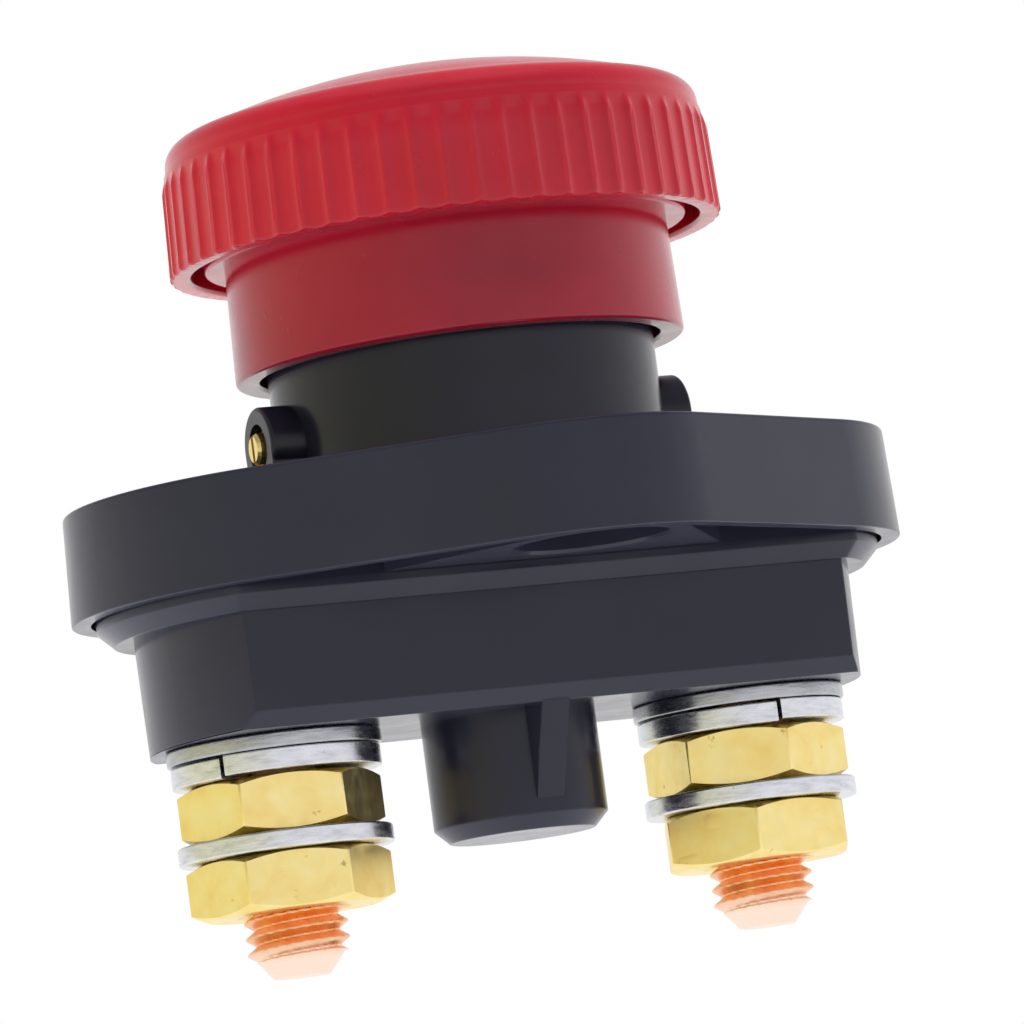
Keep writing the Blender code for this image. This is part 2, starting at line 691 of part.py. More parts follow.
def plunger_bore():
    """The bore for the plunger, with the gland for its seal."""
    bore = PLUNGER_RADIUS + PLUNGER_CLEARANCE
    gland = bore + 2 * SEAL_SECTION + GAP
    half = SEAL_SECTION + GAP
    profile = [
        (0.0, NECK_TOP + CUT),
        (bore, NECK_TOP + CUT),
        (bore, SEAL_HEIGHT + half),
        (gland, SEAL_HEIGHT + half),
        (gland, SEAL_HEIGHT - half),
        (bore, SEAL_HEIGHT - half),
        (bore, CEILING - CUT),
        (0.0, CEILING - CUT),
    ]
    return turn(add_cutter("plunger_bore", profile_mesh("plunger_bore", profile, False)), ROUND_STEPS)


def mount_hole(side):
    """One mounting hole with its wide recess in the flange's underside."""
    profile = [
        (0.0, FLANGE_HEIGHT + CUT),
        (MOUNT_RADIUS, FLANGE_HEIGHT + CUT),
        (MOUNT_RADIUS, MOUNT_RECESS_DEPTH),
        (MOUNT_RECESS_RADIUS, MOUNT_RECESS_DEPTH),
        (MOUNT_RECESS_RADIUS, -CUT),
        (0.0, -CUT),
    ]
    name = "mount_hole_front" if side < 0 else "mount_hole_back"
    hole = turn(add_cutter(name, profile_mesh(name, profile, False)), ROUND_STEPS)
    hole.location.y = side * MOUNT_OFFSET
    return hole


def upper_housing():
    """The black moulding with the flange, its skirt, the neck and the detent bosses."""
    top_draft = flange_draft(FLANGE_HEIGHT)
    eased = FLANGE_EDGE * FLANGE_EDGE_STEP
    sections = [
        (diamond_outline(0.0), 0.0),
        (diamond_outline(flange_draft(FLANGE_HEIGHT - FLANGE_EDGE)), FLANGE_HEIGHT - FLANGE_EDGE),
        (diamond_outline(top_draft + eased), FLANGE_HEIGHT - eased),
        (diamond_outline(top_draft + FLANGE_EDGE), FLANGE_HEIGHT),
    ]
    part = add_part("upper_housing", loft("upper_housing", sections), BLACK, PLASTIC_ROUGHNESS)
    boolean(part, skirt_cavity())
    boolean(part, neck(), 'UNION')
    bosses = rod("detent_bosses", BOSS_RADIUS, 2 * BOSS_REACH, (0.0, 0.0, DETENT_HEIGHT), SMALL_STEPS, 'X')
    boolean(part, add_cutter("detent_bosses", bosses), 'UNION')
    web_bottom = FLANGE_HEIGHT - FLANGE_ROOF / 2
    web_size = (2 * BOSS_REACH, BOSS_RADIUS, DETENT_HEIGHT - web_bottom)
    web = block("boss_webs", web_size, (0.0, 0.0, (DETENT_HEIGHT + web_bottom) / 2))
    boolean(part, add_cutter("boss_webs", web), 'UNION')
    foot_size = (2 * (BOSS_REACH + BOSS_FOOT_LENGTH), 2 * BOSS_RADIUS, BOSS_FOOT_HEIGHT + FLANGE_ROOF / 2)
    foot = block("boss_feet", foot_size, (0.0, 0.0, FLANGE_HEIGHT + BOSS_FOOT_HEIGHT - foot_size[2] / 2))
    boolean(part, add_cutter("boss_feet", foot), 'UNION')
    boolean(part, plunger_bore())
    drill_length = 2 * (BOSS_REACH + CUT)
    drill = rod("detent_drill", DETENT_BORE_RADIUS, drill_length, (0.0, 0.0, DETENT_HEIGHT), SMALL_STEPS, 'X')
    boolean(part, add_cutter("detent_drill", drill))
    for side in (-1, 1):
        boolean(part, mount_hole(side))
    return part


def ledge_outline(inset):
    fit = SKIRT_WALL + LEDGE_GAP
    return bar_outline(HALF_LENGTH - fit, LEDGE_HALF_WIDTH, END_RADIUS - fit, inset)


def box_outline(inset):
    return bar_outline(BOX_HALF_LENGTH, BOX_HALF_WIDTH, BOX_END_RADIUS, inset)


def rib(side):
    """One tapered rib between the box's underside and the post."""
    start = BOX_HALF_WIDTH - BOX_CHAMFER
    root = -BOX_DEPTH + BOX_FLOOR / 2
    inside = POST_RADIUS / 2
    corners = [
        (start, root),
        (start, -BOX_DEPTH),
        (POST_RADIUS, -RIB_FOOT),
        (inside, -RIB_FOOT),
        (inside, root),
    ]
    bm = bmesh.new()
    face = bm.faces.new([bm.verts.new((-RIB_THICKNESS / 2, side * y, z)) for y, z in corners])
    grown = bmesh.ops.extrude_face_region(bm, geom=[face])
    moved = [item for item in grown["geom"] if isinstance(item, bmesh.types.BMVert)]
    bmesh.ops.translate(bm, vec=(RIB_THICKNESS, 0.0, 0.0), verts=moved)
    name = "post_rib_front" if side < 0 else "post_rib_back"
    return add_cutter(name, mesh_from(bm, name))


def lower_housing():
    """The black moulding in the skirt, with the box and the hollow post."""
    ledge_top = flange_draft(LOWER_TOP)
    sections = [
        (ledge_outline(LEDGE_CHAMFER), -LEDGE_DROP),
        (ledge_outline(0.0), LEDGE_CHAMFER - LEDGE_DROP),
        (ledge_outline(0.0), 0.0),
        (ledge_outline(ledge_top), LOWER_TOP),
    ]
    part = add_part("lower_housing", loft("lower_housing", sections), BLACK, PLASTIC_ROUGHNESS)
    chamfered = bar_outline(BOX_HALF_LENGTH, BOX_HALF_WIDTH - BOX_CHAMFER, BOX_END_RADIUS, BOX_DRAFT)
    box = loft("box", [
        (chamfered, -BOX_DEPTH),
        (box_outline(BOX_DRAFT), BOX_CHAMFER - BOX_DEPTH),
        (box_outline(0.0), LEDGE_CHAMFER - LEDGE_DROP),
    ])
    boolean(part, add_cutter("box", box), 'UNION')
    post_root = -BOX_DEPTH + BOX_FLOOR / 2
    post_profile = [
        (0.0, post_root),
        (POST_RADIUS, post_root),
        (POST_RADIUS, POST_CHAMFER - POST_DEPTH),
        (POST_RADIUS - POST_CHAMFER, -POST_DEPTH),
        (0.0, -POST_DEPTH),
    ]
    boolean(part, turn(add_cutter("post", profile_mesh("post", post_profile, False)), ROUND_STEPS), 'UNION')
    for side in (-1, 1):
        boolean(part, rib(side), 'UNION')
    inside = box_outline(BOX_WALL)
    boolean(part, add_cutter("box_cavity", loft("box_cavity", [(inside, FLOOR), (inside, LOWER_TOP + CUT)])))
    bore_length = POST_BORE_END + FLOOR + CUT
    bore_centre = (0.0, 0.0, -POST_BORE_END + bore_length / 2)
    bore = rod("post_bore", SPINDLE_RADIUS + GAP, bore_length, bore_centre, SMALL_STEPS)
    boolean(part, add_cutter("post_bore", bore))
    pocket = hexagon(HEAD_FLATS + 2 * GAP)
    for side, name in ((-1, "left"), (1, "right")):
        sections = [(pocket, FLOOR - HEAD_POCKET), (pocket, FLOOR + CUT)]
        tool = add_cutter("head_pocket_" + name, loft("head_pocket_" + name, sections))
        tool.location.x = side * STUD_X
        boolean(part, tool)
        length = BOX_FLOOR + 2 * CUT
        centre = (side * STUD_X, 0.0, (FLOOR - BOX_DEPTH) / 2)
        hole = rod("stud_hole_" + name, STUD_RADIUS + GAP, length, centre, SMALL_STEPS)
        boolean(part, add_cutter("stud_hole_" + name, hole))
    return part


def housing_seal():
    """The gasket between the lower housing's rim and the flange's roof."""
    bottom = LOWER_TOP + GAP
    top = bottom + GASKET_THICKNESS
    outer = ledge_outline(GASKET_INSET)
    inner = ledge_outline(GASKET_INSET + GASKET_WIDTH)
    mesh = loft("housing_seal", [(outer, bottom), (outer, top)])
    part = add_part("housing_seal", mesh, RUBBER, SOFT_ROUGHNESS)
    opening = loft("seal_opening", [(inner, bottom - CUT), (inner, top + CUT)])
    boolean(part, add_cutter("seal_opening", opening))
    return part


def shaft_seal():
    """The O-ring in the neck's gland."""
    middle = PLUNGER_RADIUS + SEAL_CLEARANCE + SEAL_SECTION
    section = arc(middle, SEAL_HEIGHT, SEAL_SECTION, math.pi / 2, -math.pi * 3 / 2, SEAL_SIDES)[:-1]
    part = add_part("shaft_seal", profile_mesh("shaft_seal", section, True), RUBBER, SOFT_ROUGHNESS)
    return turn(part, SMALL_STEPS)


def detents():
    """The two ball detents: each a ball, a spring and a slotted brass plug."""
    plug_end = BOSS_REACH + PLUG_NOSE_REACH
    plug_shoulder = BOSS_REACH - PLUG_RECESS
    plug_inner = plug_shoulder - PLUG_LENGTH
    plug_radius = DETENT_BORE_RADIUS - GAP
    spring_start = BALL_X + BALL_RADIUS + GAP + DETENT_SPRING_WIRE
    spring_length = plug_inner - GAP - DETENT_SPRING_WIRE - spring_start
    bm = bmesh.new()
    bmesh.ops.create_uvsphere(bm, u_segments=BALL_SEGMENTS, v_segments=BALL_RINGS, radius=BALL_RADIUS)
    ball_mesh = mesh_from(bm, "detent_ball")
    spring_mesh = coil_mesh(
        "detent_spring", DETENT_SPRING_RADIUS, DETENT_SPRING_WIRE, spring_length,
        DETENT_SPRING_TURNS, DETENT_SPRING_POINTS)
    plug_profile = [
        (0.0, plug_end),
        (PLUG_NOSE_RADIUS - PLUG_CHAMFER, plug_end),
        (PLUG_NOSE_RADIUS, plug_end - PLUG_CHAMFER),
        (PLUG_NOSE_RADIUS, plug_shoulder),
        (plug_radius, plug_shoulder),
        (plug_radius, plug_inner),
        (0.0, plug_inner),
    ]
    plug_mesh = profile_mesh("detent_plug", plug_profile, False)
    slot_size = (2 * plug_radius + CUT, PLUG_SLOT_WIDTH, 2 * PLUG_SLOT_DEPTH)
    for side, name in ((-1, "left"), (1, "right")):
        outward = side * math.pi / 2
        ball = add_part("detent_ball_" + name, ball_mesh, STEEL, METAL_ROUGHNESS, 1.0)
        ball.location = (side * BALL_X, 0.0, DETENT_HEIGHT)
        spring = add_part("detent_spring_" + name, spring_mesh, STEEL, METAL_ROUGHNESS, 1.0)
        spring.location = (side * spring_start, 0.0, DETENT_HEIGHT)
        spring.rotation_euler.y = outward
        plug = turn(add_part("detent_plug_" + name, plug_mesh, BRASS, METAL_ROUGHNESS, 1.0), SMALL_STEPS)
        plug.location.z = DETENT_HEIGHT
        plug.rotation_euler.y = outward
        slot = add_cutter("plug_slot_" + name, block("plug_slot_" + name, slot_size, (0.0, 0.0, plug_end)))
        slot.location.z = DETENT_HEIGHT
        slot.rotation_euler.y = outward
        boolean(plug, slot)


def studs():
    """The copper studs, each with a hexagon head that sits in a pocket of the floor."""
    taper_top = STUD_BOTTOM + STUD_TAPER
    head = hexagon(HEAD_FLATS)
    head_mesh = loft("stud", [(head, HEAD_BOTTOM), (head, CONTACT_FACE)])
    shank_profile = [
        (0.0, HEAD_BOTTOM + HEAD_HEIGHT / 2),
        (STUD_RADIUS, HEAD_BOTTOM + HEAD_HEIGHT / 2),
        (STUD_RADIUS, taper_top + STUD_RADIUS - STUD_TAPER_START),
        (STUD_TAPER_START, taper_top),
        (STUD_TIP_RADIUS, STUD_BOTTOM),
        (0.0, STUD_BOTTOM),
    ]
    shank = turn(add_cutter("stud_shank", profile_mesh("stud_shank", shank_profile, False)), ROUND_STEPS)
    for side, name in ((-1, "stud_left"), (1, "stud_right")):
        stud = add_part(name, head_mesh, COPPER, METAL_ROUGHNESS, 1.0)
        stud.location.x = side * STUD_X
        own_shank = shank if side < 0 else shank.copy()
        if own_shank is not shank:
            CUTTERS.objects.link(own_shank)
        own_shank.location.x = side * STUD_X
        boolean(stud, own_shank, 'UNION')


def ring_mesh(name, outer, inner, thickness, edge):
    """A flat washer's profile from its own top at height zero, with its outer edge eased underneath."""
    profile = [
        (inner, 0.0),
        (outer, 0.0),
        (outer, edge - thickness),
        (outer - edge, -thickness),
        (inner, -thickness),
    ]
    return profile_mesh(name, profile, True)


def split_ring_mesh(name, outer, inner, thickness, rise, opening, steps):
    """A spring washer: a square section swept most of a turn, with its two ends out of line."""
    bm = bmesh.new()
    sweep = math.radians(360.0 - opening)
    corners = [(inner, 0.0), (outer, 0.0), (outer, -thickness), (inner, -thickness)]
    rings = []
    for i in range(steps + 1):
        angle = math.radians(opening / 2) + sweep * i / steps
        drop = rise * (i / steps)
        rings.append([
            bm.verts.new((radius * math.cos(angle), radius * math.sin(angle), height - drop))
            for radius, height in corners])
    bm.faces.new(rings[0])
    bm.faces.new(rings[-1][::-1])
    for near, far in zip(rings, rings[1:]):
        for i in range(4):
            following = (i + 1) % 4
            bm.faces.new((near[i], far[i], far[following], near[following]))
    return mesh_from(bm, name)


def nut_mesh():
    """A hexagon block, which each nut then trims to a chamfered nut with a bore."""
    corner = hexagon(NUT_FLATS)
    return loft("nut", [(corner, -NUT_HEIGHT), (corner, 0.0)])


def nut_trim(name):
    """A lens that rounds a nut's corners at both faces."""
    reach = NUT_FLATS / math.sqrt(3) + CUT
    drop = (reach - NUT_FACE_RADIUS) * math.tan(math.radians(NUT_CHAMFER_ANGLE))
    profile = [
        (0.0, 0.0),
        (NUT_FACE_RADIUS, 0.0),
        (reach, -drop),
        (reach, drop - NUT_HEIGHT),
        (NUT_FACE_RADIUS, -NUT_HEIGHT),
        (0.0, -NUT_HEIGHT),
    ]
    return turn(add_cutter(name, profile_mesh(name, profile, False)), NUT_STEPS)


def stack(side, word, meshes):
    """The washers and nuts on one stud, from the housing down."""
    inner_washer = add_part("inner_washer_" + word, meshes["inner"], ZINC, METAL_ROUGHNESS, 1.0)
    turn(inner_washer, ROUND_STEPS).location = (side * STUD_X, 0.0, STACK_TOP)
    lock_washer = add_part("lock_washer_" + word, meshes["lock"], ZINC, METAL_ROUGHNESS, 1.0)
    lock_washer.location = (side * STUD_X, 0.0, LOCK_WASHER_TOP)
    lock_washer.rotation_euler.z = math.radians(LOCK_WASHER_TURNS[word])
    nut("inner_nut_" + word, meshes["nut"], side, INNER_NUT_TOP)
    outer_washer = add_part("outer_washer_" + word, meshes["outer"], ZINC, METAL_ROUGHNESS, 1.0)
    turn(outer_washer, ROUND_STEPS).location = (side * STUD_X, 0.0, OUTER_WASHER_TOP)
    nut("outer_nut_" + word, meshes["nut"], side, OUTER_NUT_TOP)


def nut(name, mesh, side, height):
    part = add_part(name, mesh, BRASS, METAL_ROUGHNESS, 1.0)
    part.location = (side * STUD_X, 0.0, height)
    part.rotation_euler.z = math.radians(NUT_TURNS[name])
    trim = nut_trim(name + "_trim")
    trim.location = part.location
    boolean(part, trim, 'INTERSECT')
    length = NUT_HEIGHT + 2 * CUT
    bore_mesh = rod(name + "_bore", STUD_RADIUS + GAP, length, (0.0, 0.0, -NUT_HEIGHT / 2), SMALL_STEPS)
    bore = add_cutter(name + "_bore", bore_mesh)
    bore.location = part.location
    boolean(part, bore)
    return part


def stacks():
    hole = STUD_RADIUS + GAP
    meshes = {
        "inner": ring_mesh("inner_washer", WASHER_RADIUS, hole, INNER_WASHER_THICKNESS, WASHER_EDGE),
        "outer": ring_mesh("outer_washer", WASHER_RADIUS, hole, OUTER_WASHER_THICKNESS, WASHER_EDGE),
        "lock": split_ring_mesh("lock_washer", LOCK_WASHER_RADIUS, hole, LOCK_WASHER_THICKNESS,
                                LOCK_WASHER_RISE, LOCK_WASHER_OPENING, ROUND_STEPS),
        "nut": nut_mesh(),
    }
    for side, word in ((-1, "left"), (1, "right")):
        stack(side, word, meshes)


def knob_group(pieces):
    """Hangs everything that moves with the knob on one empty, on the knob's axis."""
    axis = bpy.data.objects.new("knob_axis", None)
    PARTS.objects.link(axis)
    for piece in pieces:
        piece.parent = axis


clear_scene()
PARTS = make_collection(COLLECTION_NAME)
CUTTERS = make_collection(CUTTER_COLLECTION_NAME)
upper_housing()
lower_housing()
housing_seal()
shaft_seal()
knob_group([
    knob_cap(), knob_sleeve(), knob_screw(), plunger(), contact_bridge(), contact_spring(), retaining_clip(),
])
detents()
studs()
stacks()
bpy.context.view_layer.update()
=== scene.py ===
"""Dresses the push-pull battery disconnect switch: fine edges, threads, finishes, light and camera.

Units are metres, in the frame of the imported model: +Z runs from the panel to the knob, and X along
the line of the two studs. Pieces that replace a plain solid take their place from that solid's box.
"""
import math

import bmesh
import bpy
from mathutils import Matrix, Vector


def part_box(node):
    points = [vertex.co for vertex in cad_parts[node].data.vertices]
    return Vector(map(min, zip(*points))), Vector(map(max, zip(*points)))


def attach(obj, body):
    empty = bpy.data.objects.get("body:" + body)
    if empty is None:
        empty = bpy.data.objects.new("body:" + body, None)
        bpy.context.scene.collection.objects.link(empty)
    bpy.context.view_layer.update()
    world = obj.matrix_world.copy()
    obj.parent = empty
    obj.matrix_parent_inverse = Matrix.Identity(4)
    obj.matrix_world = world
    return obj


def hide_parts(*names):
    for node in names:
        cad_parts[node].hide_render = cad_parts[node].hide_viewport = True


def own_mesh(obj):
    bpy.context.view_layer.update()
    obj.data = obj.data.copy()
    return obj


# Knob
KNOB_RADIUS = 0.0268
FLUTE_COUNT = 58
FLUTE_TURN = -0.85
FLUTE_DEPTH = 0.00034
FLUTE_SHARE = 0.88
FLUTE_POWER = 3
FLUTE_STEPS = 16
RIDGE_END = 0.0016
GRIP_HEIGHT = 0.0100
GRIP_STEPS = 6
KNOB_DRAFT = 0.0003
KNOB_RIM_ROUND = 0.0004
KNOB_WALL = 0.0021
LIP_STEP = 0.00056
LIP_HEIGHT = 0.00324
LIP_ROUND = 0.00237
LIP_SWEEP = 70.0
CROWN_STEPS = 24
SEAT_RING_RADIUS = 0.0200
SEAT_RING_WIDTH = 0.0025
SHOULDER_DEPTH = 0.0040
CROWN_WALL = 0.0030
FIT = 0.0003

# Sleeve
SLEEVE_RADIUS = 0.02175
SLEEVE_WALL = 0.00235
SLEEVE_RIM_ROUND = 0.0004
SLEEVE_DRAFT = 0.0003
SCREW_HOLE = 0.0033

# Upper housing
END_RADIUS = 0.0240
LOBE_RADIUS = 0.0178
FLANGE_HEIGHT = 0.0105
FLANGE_DRAFT = 0.0004
FLANGE_TOP_ROUND = 0.0004
FLANGE_RIM_ROUND = 0.0002
FLANGE_ROOF = 0.0025
SKIRT_WALL = 0.0018
NECK_RADIUS = 0.0187
NECK_ROOT_ROUND = 0.0009
NECK_TOP_ROUND = 0.0006
PLUNGER_BORE = 0.0083
GLAND_RADIUS = 0.0105
GLAND_HALF_HEIGHT = 0.00125
BOSS_RADIUS = 0.0040
BOSS_REACH = 0.02174
BOSS_HEIGHT = 0.01473
BOSS_EDGE = 0.0004
BOSS_BORE = 0.0024
BOSS_FOOT_LENGTH = 0.0012
BOSS_FOOT_HEIGHT = 0.0008
MOUNT_OFFSET = 0.0268
MOUNT_RADIUS = 0.0042
MOUNT_RECESS_RADIUS = 0.0073
MOUNT_RECESS_DEPTH = 0.0055
MOUNT_EDGE = 0.0003
PAD_HALF_WIDTH = 0.0171
PAD_INNER = 0.0172
PAD_TAPER = 0.62

# Lower housing
LEDGE_GAP = 0.0005
LEDGE_HALF_WIDTH = 0.0164
LEDGE_DROP = 0.0023
LEDGE_CHAMFER = 0.0015
LOWER_TOP = 0.0066
HEAD_WALL_GAP = 0.0007
BOX_HALF_WIDTH = 0.0145
BOX_END_RADIUS = 0.0246
BOX_DEPTH = 0.0131
BOX_CHAMFER = 0.0015
BOX_DRAFT = 0.0002
BOX_WALL = 0.0030
BOX_FLOOR = 0.0036
HEAD_POCKET = 0.0010
STUD_HOLE = 0.0052
BOX_EDGE = 0.00025
BOX_CORNER = 0.00035
LEDGE_CORNER = 0.0010
POST_RADIUS = 0.0084
POST_CHAMFER = 0.0014
POST_BORE_END = 0.0218
SPINDLE_CLEARANCE = 0.0043
RIB_THICKNESS = 0.0028
RIB_FOOT = 0.0218
RIB_EDGE = 0.0002

# Over-travel spring
SPRING_WIRE = 0.0006
SPRING_TURNS = 3
SPRING_POINTS = 48
WIRE_STEPS = 16

# Studs, nuts and washers
THREAD_PITCH = 0.0015
THREAD_DEPTH = 0.00085
THREAD_CREST = 0.12
THREAD_TOP = -0.0285
THREAD_STEP = 0.00006
STUD_RADIUS = 0.0049
STUD_TIP_RADIUS = 0.0027
STUD_TAPER_START = 0.0043
STUD_TAPER = 0.0020
STUD_PALE_BELOW = -0.0322
STUD_HEAD_HEIGHT = 0.0040
STUD_HEAD_EDGE = 0.0002
SHANK_END = 0.0038
SEATING = 0.00025
NUT_FLATS = 0.0170
NUT_FACE_RADIUS = 0.0082
NUT_CHAMFER_ANGLE = 25.0
NUT_BORE = 0.0047
NUT_BORE_CHAMFER = 0.0007
NUT_EDGE = 0.00014
NUT_BEVEL_ANGLE = 12.0
NUT_TURNS = {
    "inner_nut_left": 48.0,
    "outer_nut_left": 46.0,
    "inner_nut_right": 33.0,
    "outer_nut_right": 9.0,
}
WASHER_EDGE = 0.00022
LOCK_WASHER_OPENING = 2.5
LOCK_WASHER_RISE = 0.0002
LOCK_WASHER_EDGE = 0.00015
LOCK_WASHER_TURNS = {"left": 220.0, "right": 269.5}

# Facets, how far cutting tools reach past a face, and which edges are rounded or stay sharp
WIDE_STEPS = 192
ROUND_STEPS = 128
SMALL_STEPS = 64
ARC_STEPS = 40
EDGE_STEPS = 4
BEVEL_STEPS = 2
BEVEL_ANGLE = 30.0
CUT = 0.001
SAME_POINT = 0.0000005
SHARP_ANGLE = 32.0

# Finishes: linear colours, from dark to light, or with their places on a ramp
KNOB_RED = ((0.46, 0.005, 0.020), (0.52, 0.007, 0.025))
# The sleeve's red is darker than the cap's: partly its own deeper tone, partly painted shade from
# the cap that overhangs it.
SLEEVE_RED_AND_SHADE = ((0.37, 0.007, 0.026), (0.43, 0.010, 0.033))
RED_IOR = 1.38
RED_COAT = 0.30
RED_COAT_ROUGHNESS = 0.12
HOUSING_BLACK = [(0.30, (0.0185, 0.0190, 0.0330)), (0.72, (0.0235, 0.0240, 0.0410))]
BLACK_IOR = 1.39
BRASS = [(0.28, (0.96, 0.72, 0.24)), (0.52, (1.0, 0.81, 0.32)), (0.75, (1.0, 0.87, 0.42))]
BRASS_STAIN = (0.40, 0.25, 0.06)
ZINC = [(0.30, (0.56, 0.57, 0.60)), (0.55, (0.76, 0.77, 0.80)), (0.75, (0.86, 0.87, 0.90))]
ZINC_FLECK = (0.30, 0.28, 0.27)
# The inner washers' zinc is darker: partly their duller, rusted plate, partly painted shade and dark
# reflection from the black box above them.
INNER_WASHER_SHADE = 0.65
COPPER = [(0.30, (0.91, 0.39, 0.17)), (0.70, (0.99, 0.57, 0.32))]
COPPER_TIP = (1.0, 0.80, 0.66)
STEEL = ((0.34, 0.34, 0.36), (0.56, 0.56, 0.58))
RUBBER = [(0.30, (0.012, 0.012, 0.012)), (0.70, (0.024, 0.024, 0.025))]
ACETAL = [(0.30, (0.58, 0.56, 0.51)), (0.70, (0.66, 0.64, 0.60))]
FLOOR_WHITE = [(0.3, 0.80), (0.7, 0.84)]
FLOOR_ROUGHNESS = 0.7

# Studio: lamps as place, size, watts and colour
LAMPS = {
    "key": ((0.00, -0.16, 1.20), (1.4, 1.4), 23.5, (1.0, 1.0, 1.0)),
    "fill": ((1.00, 0.10, 0.35), (1.0, 1.0), 4.2, (1.0, 1.0, 1.0)),
    "side": ((-0.95, 0.10, 0.45), (1.0, 1.0), 1.6, (1.0, 1.0, 1.0)),
    "low_left": ((-0.21, 0.00, -0.145), (0.25, 0.25), 0.5, (1.0, 0.95, 1.0)),
    "low_right": ((0.21, 0.00, -0.145), (0.25, 0.25), 0.7, (1.0, 0.95, 1.0)),
    "below": ((0.00, 0.06, -0.150), (0.36, 0.16), 0.9, (1.0, 0.97, 1.0)),
}
WORLD_LIGHT = 0.17

# Studio: the world's colours along an axis of the direction, from -1 to 1
LIGHT_BY_HEIGHT = [(-1.0, (0.55, 0.55, 0.57)), (0.0, (0.50, 0.50, 0.52)), (0.8, (1.0, 1.0, 1.0))]
GLOSS_BY_DEPTH = [(-0.9, (0.97, 0.96, 1.0)), (-0.1, (0.93, 0.93, 0.97)), (0.45, (1.0, 1.0, 1.0))]
GLOSS_BY_HEIGHT = [
    (-1.0, (1.0, 1.0, 1.0)),
    (0.16, (1.0, 1.0, 1.0)),
    (0.45, (0.50, 0.50, 0.52)),
    (1.0, (0.30, 0.30, 0.32)),
]
GLOSS_BY_SIDE = [(-0.95, (0.84, 0.82, 0.52)), (-0.25, (0.92, 0.92, 0.95)), (0.0, (1.0, 1.0, 1.0))]

# Studio: the floor
FLOOR_HEIGHT = -0.16
FLOOR_GLOW = 0.8
FLOOR_HALF_SIZE = 4.0

# Camera, as it stands to the switch's axis
CAMERA_AZIMUTH = -21.859
CAMERA_ELEVATION = -6.654
CAMERA_ROLL = -7.538
CAMERA_DISTANCE = 0.72839
CAMERA_AIM_X = 0.003333
CAMERA_AIM_Y = -0.002292
CAMERA_AIM_HEIGHT = 0.00928
PIXELS_PER_METRE = 10400.0
PICTURE_SIZE = 1024
SENSOR_WIDTH = 36.0
CLIP_START = 0.01
CLIP_END = 20.0

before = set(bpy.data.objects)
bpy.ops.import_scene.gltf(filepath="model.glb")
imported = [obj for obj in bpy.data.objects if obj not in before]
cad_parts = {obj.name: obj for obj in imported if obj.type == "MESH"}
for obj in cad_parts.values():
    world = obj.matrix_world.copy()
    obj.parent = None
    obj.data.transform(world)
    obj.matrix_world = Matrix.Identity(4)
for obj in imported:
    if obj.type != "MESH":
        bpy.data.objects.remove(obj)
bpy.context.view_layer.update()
BOX_HALF_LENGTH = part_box("stud_right")[1][0] + HEAD_WALL_GAP + BOX_WALL


def to_mesh(bm, name):
    """Turns a bmesh into a mesh, with faces outwards, smooth but for its sharp edges."""
    bmesh.ops.recalc_face_normals(bm, faces=bm.faces)
    mesh = bpy.data.meshes.new(name)
    bm.to_mesh(mesh)
    bm.free()
    mesh.shade_smooth()
    mesh.set_sharp_from_angle(angle=math.radians(SHARP_ANGLE))
    return mesh


def new_object(name, mesh):
    item = bpy.data.objects.new(name, mesh)
    bpy.context.scene.collection.objects.link(item)
    return item


def arc(centre_x, centre_y, radius, start, end, steps):
    """Points on an arc, between two angles in radians."""
    points = []
    for i in range(steps + 1):
        angle = start + (end - start) * i / steps
        points.append((centre_x + radius * math.cos(angle), centre_y + radius * math.sin(angle)))
    return points


def rings_mesh(name, rings, closed_sweep=False):
    """A surface through equally long rings of points, its ends capped or joined to each other."""
    bm = bmesh.new()
    verts = [[bm.verts.new(point) for point in ring] for ring in rings]
    pairs = list(zip(verts, verts[1:]))
    if closed_sweep:
        pairs.append((verts[-1], verts[0]))
    for low, high in pairs:
        for i in range(len(low)):
            following = (i + 1) % len(low)
            bm.faces.new((low[i], low[following], high[following], high[i]))
    if not closed_sweep:
        bm.faces.new(verts[0][::-1])
        bm.faces.new(verts[-1])
    return to_mesh(bm, name)


def lathe(name, profile, steps, closed=False):
    """A turned piece from (radius, height) points. An open profile gets flat caps at its ends."""
    rings = []
    previous = None
    for radius, height in profile:
        if previous is not None and math.dist(previous, (radius, height)) < SAME_POINT:
            continue
        previous = (radius, height)
        ring = arc(0.0, 0.0, radius, 0.0, 2 * math.pi, steps)[:-1]
        rings.append([(x, y, height) for x, y in ring])
    return rings_mesh(name, rings, closed)


def loft(name, sections):
    """A solid through (outline, height) sections."""
    return rings_mesh(name, [[(x, y, height) for x, y in outline] for outline, height in sections])


def block(name, size, centre):
    bm = bmesh.new()
    bmesh.ops.create_cube(bm, size=1.0)
    bmesh.ops.scale(bm, vec=Vector(size), verts=bm.verts)
    bmesh.ops.translate(bm, vec=Vector(centre), verts=bm.verts)
    return to_mesh(bm, name)


def baked(item, name):
    """The object's mesh with its modifiers applied, in a new object that replaces it."""
    bpy.context.view_layer.update()
    evaluated = item.evaluated_get(bpy.context.evaluated_depsgraph_get())
    mesh = bpy.data.meshes.new_from_object(evaluated)
    mesh.transform(item.matrix_world)
    bpy.data.objects.remove(item, do_unlink=True)
    mesh.name = name
    return new_object(name, mesh)


def eased(item, width, angle=BEVEL_ANGLE):
    """The object with its edges sharper than an angle rounded."""
    bevel = item.modifiers.new("edges", 'BEVEL')
    bevel.width = width
    bevel.segments = BEVEL_STEPS
    bevel.limit_method = 'ANGLE'
    bevel.angle_limit = math.radians(angle)
    return baked(item, item.name)


def combined(item, tools):
    """The object with (tool, operation) Booleans applied in turn. The tools are removed."""
    for tool, operation in tools:
        modifier = item.modifiers.new(tool.name, 'BOOLEAN')
        modifier.operation = operation
        modifier.solver = 'EXACT'
        modifier.object = tool
    result = baked(item, item.name)
    for tool, operation in tools:
        bpy.data.objects.remove(tool, do_unlink=True)
    return result


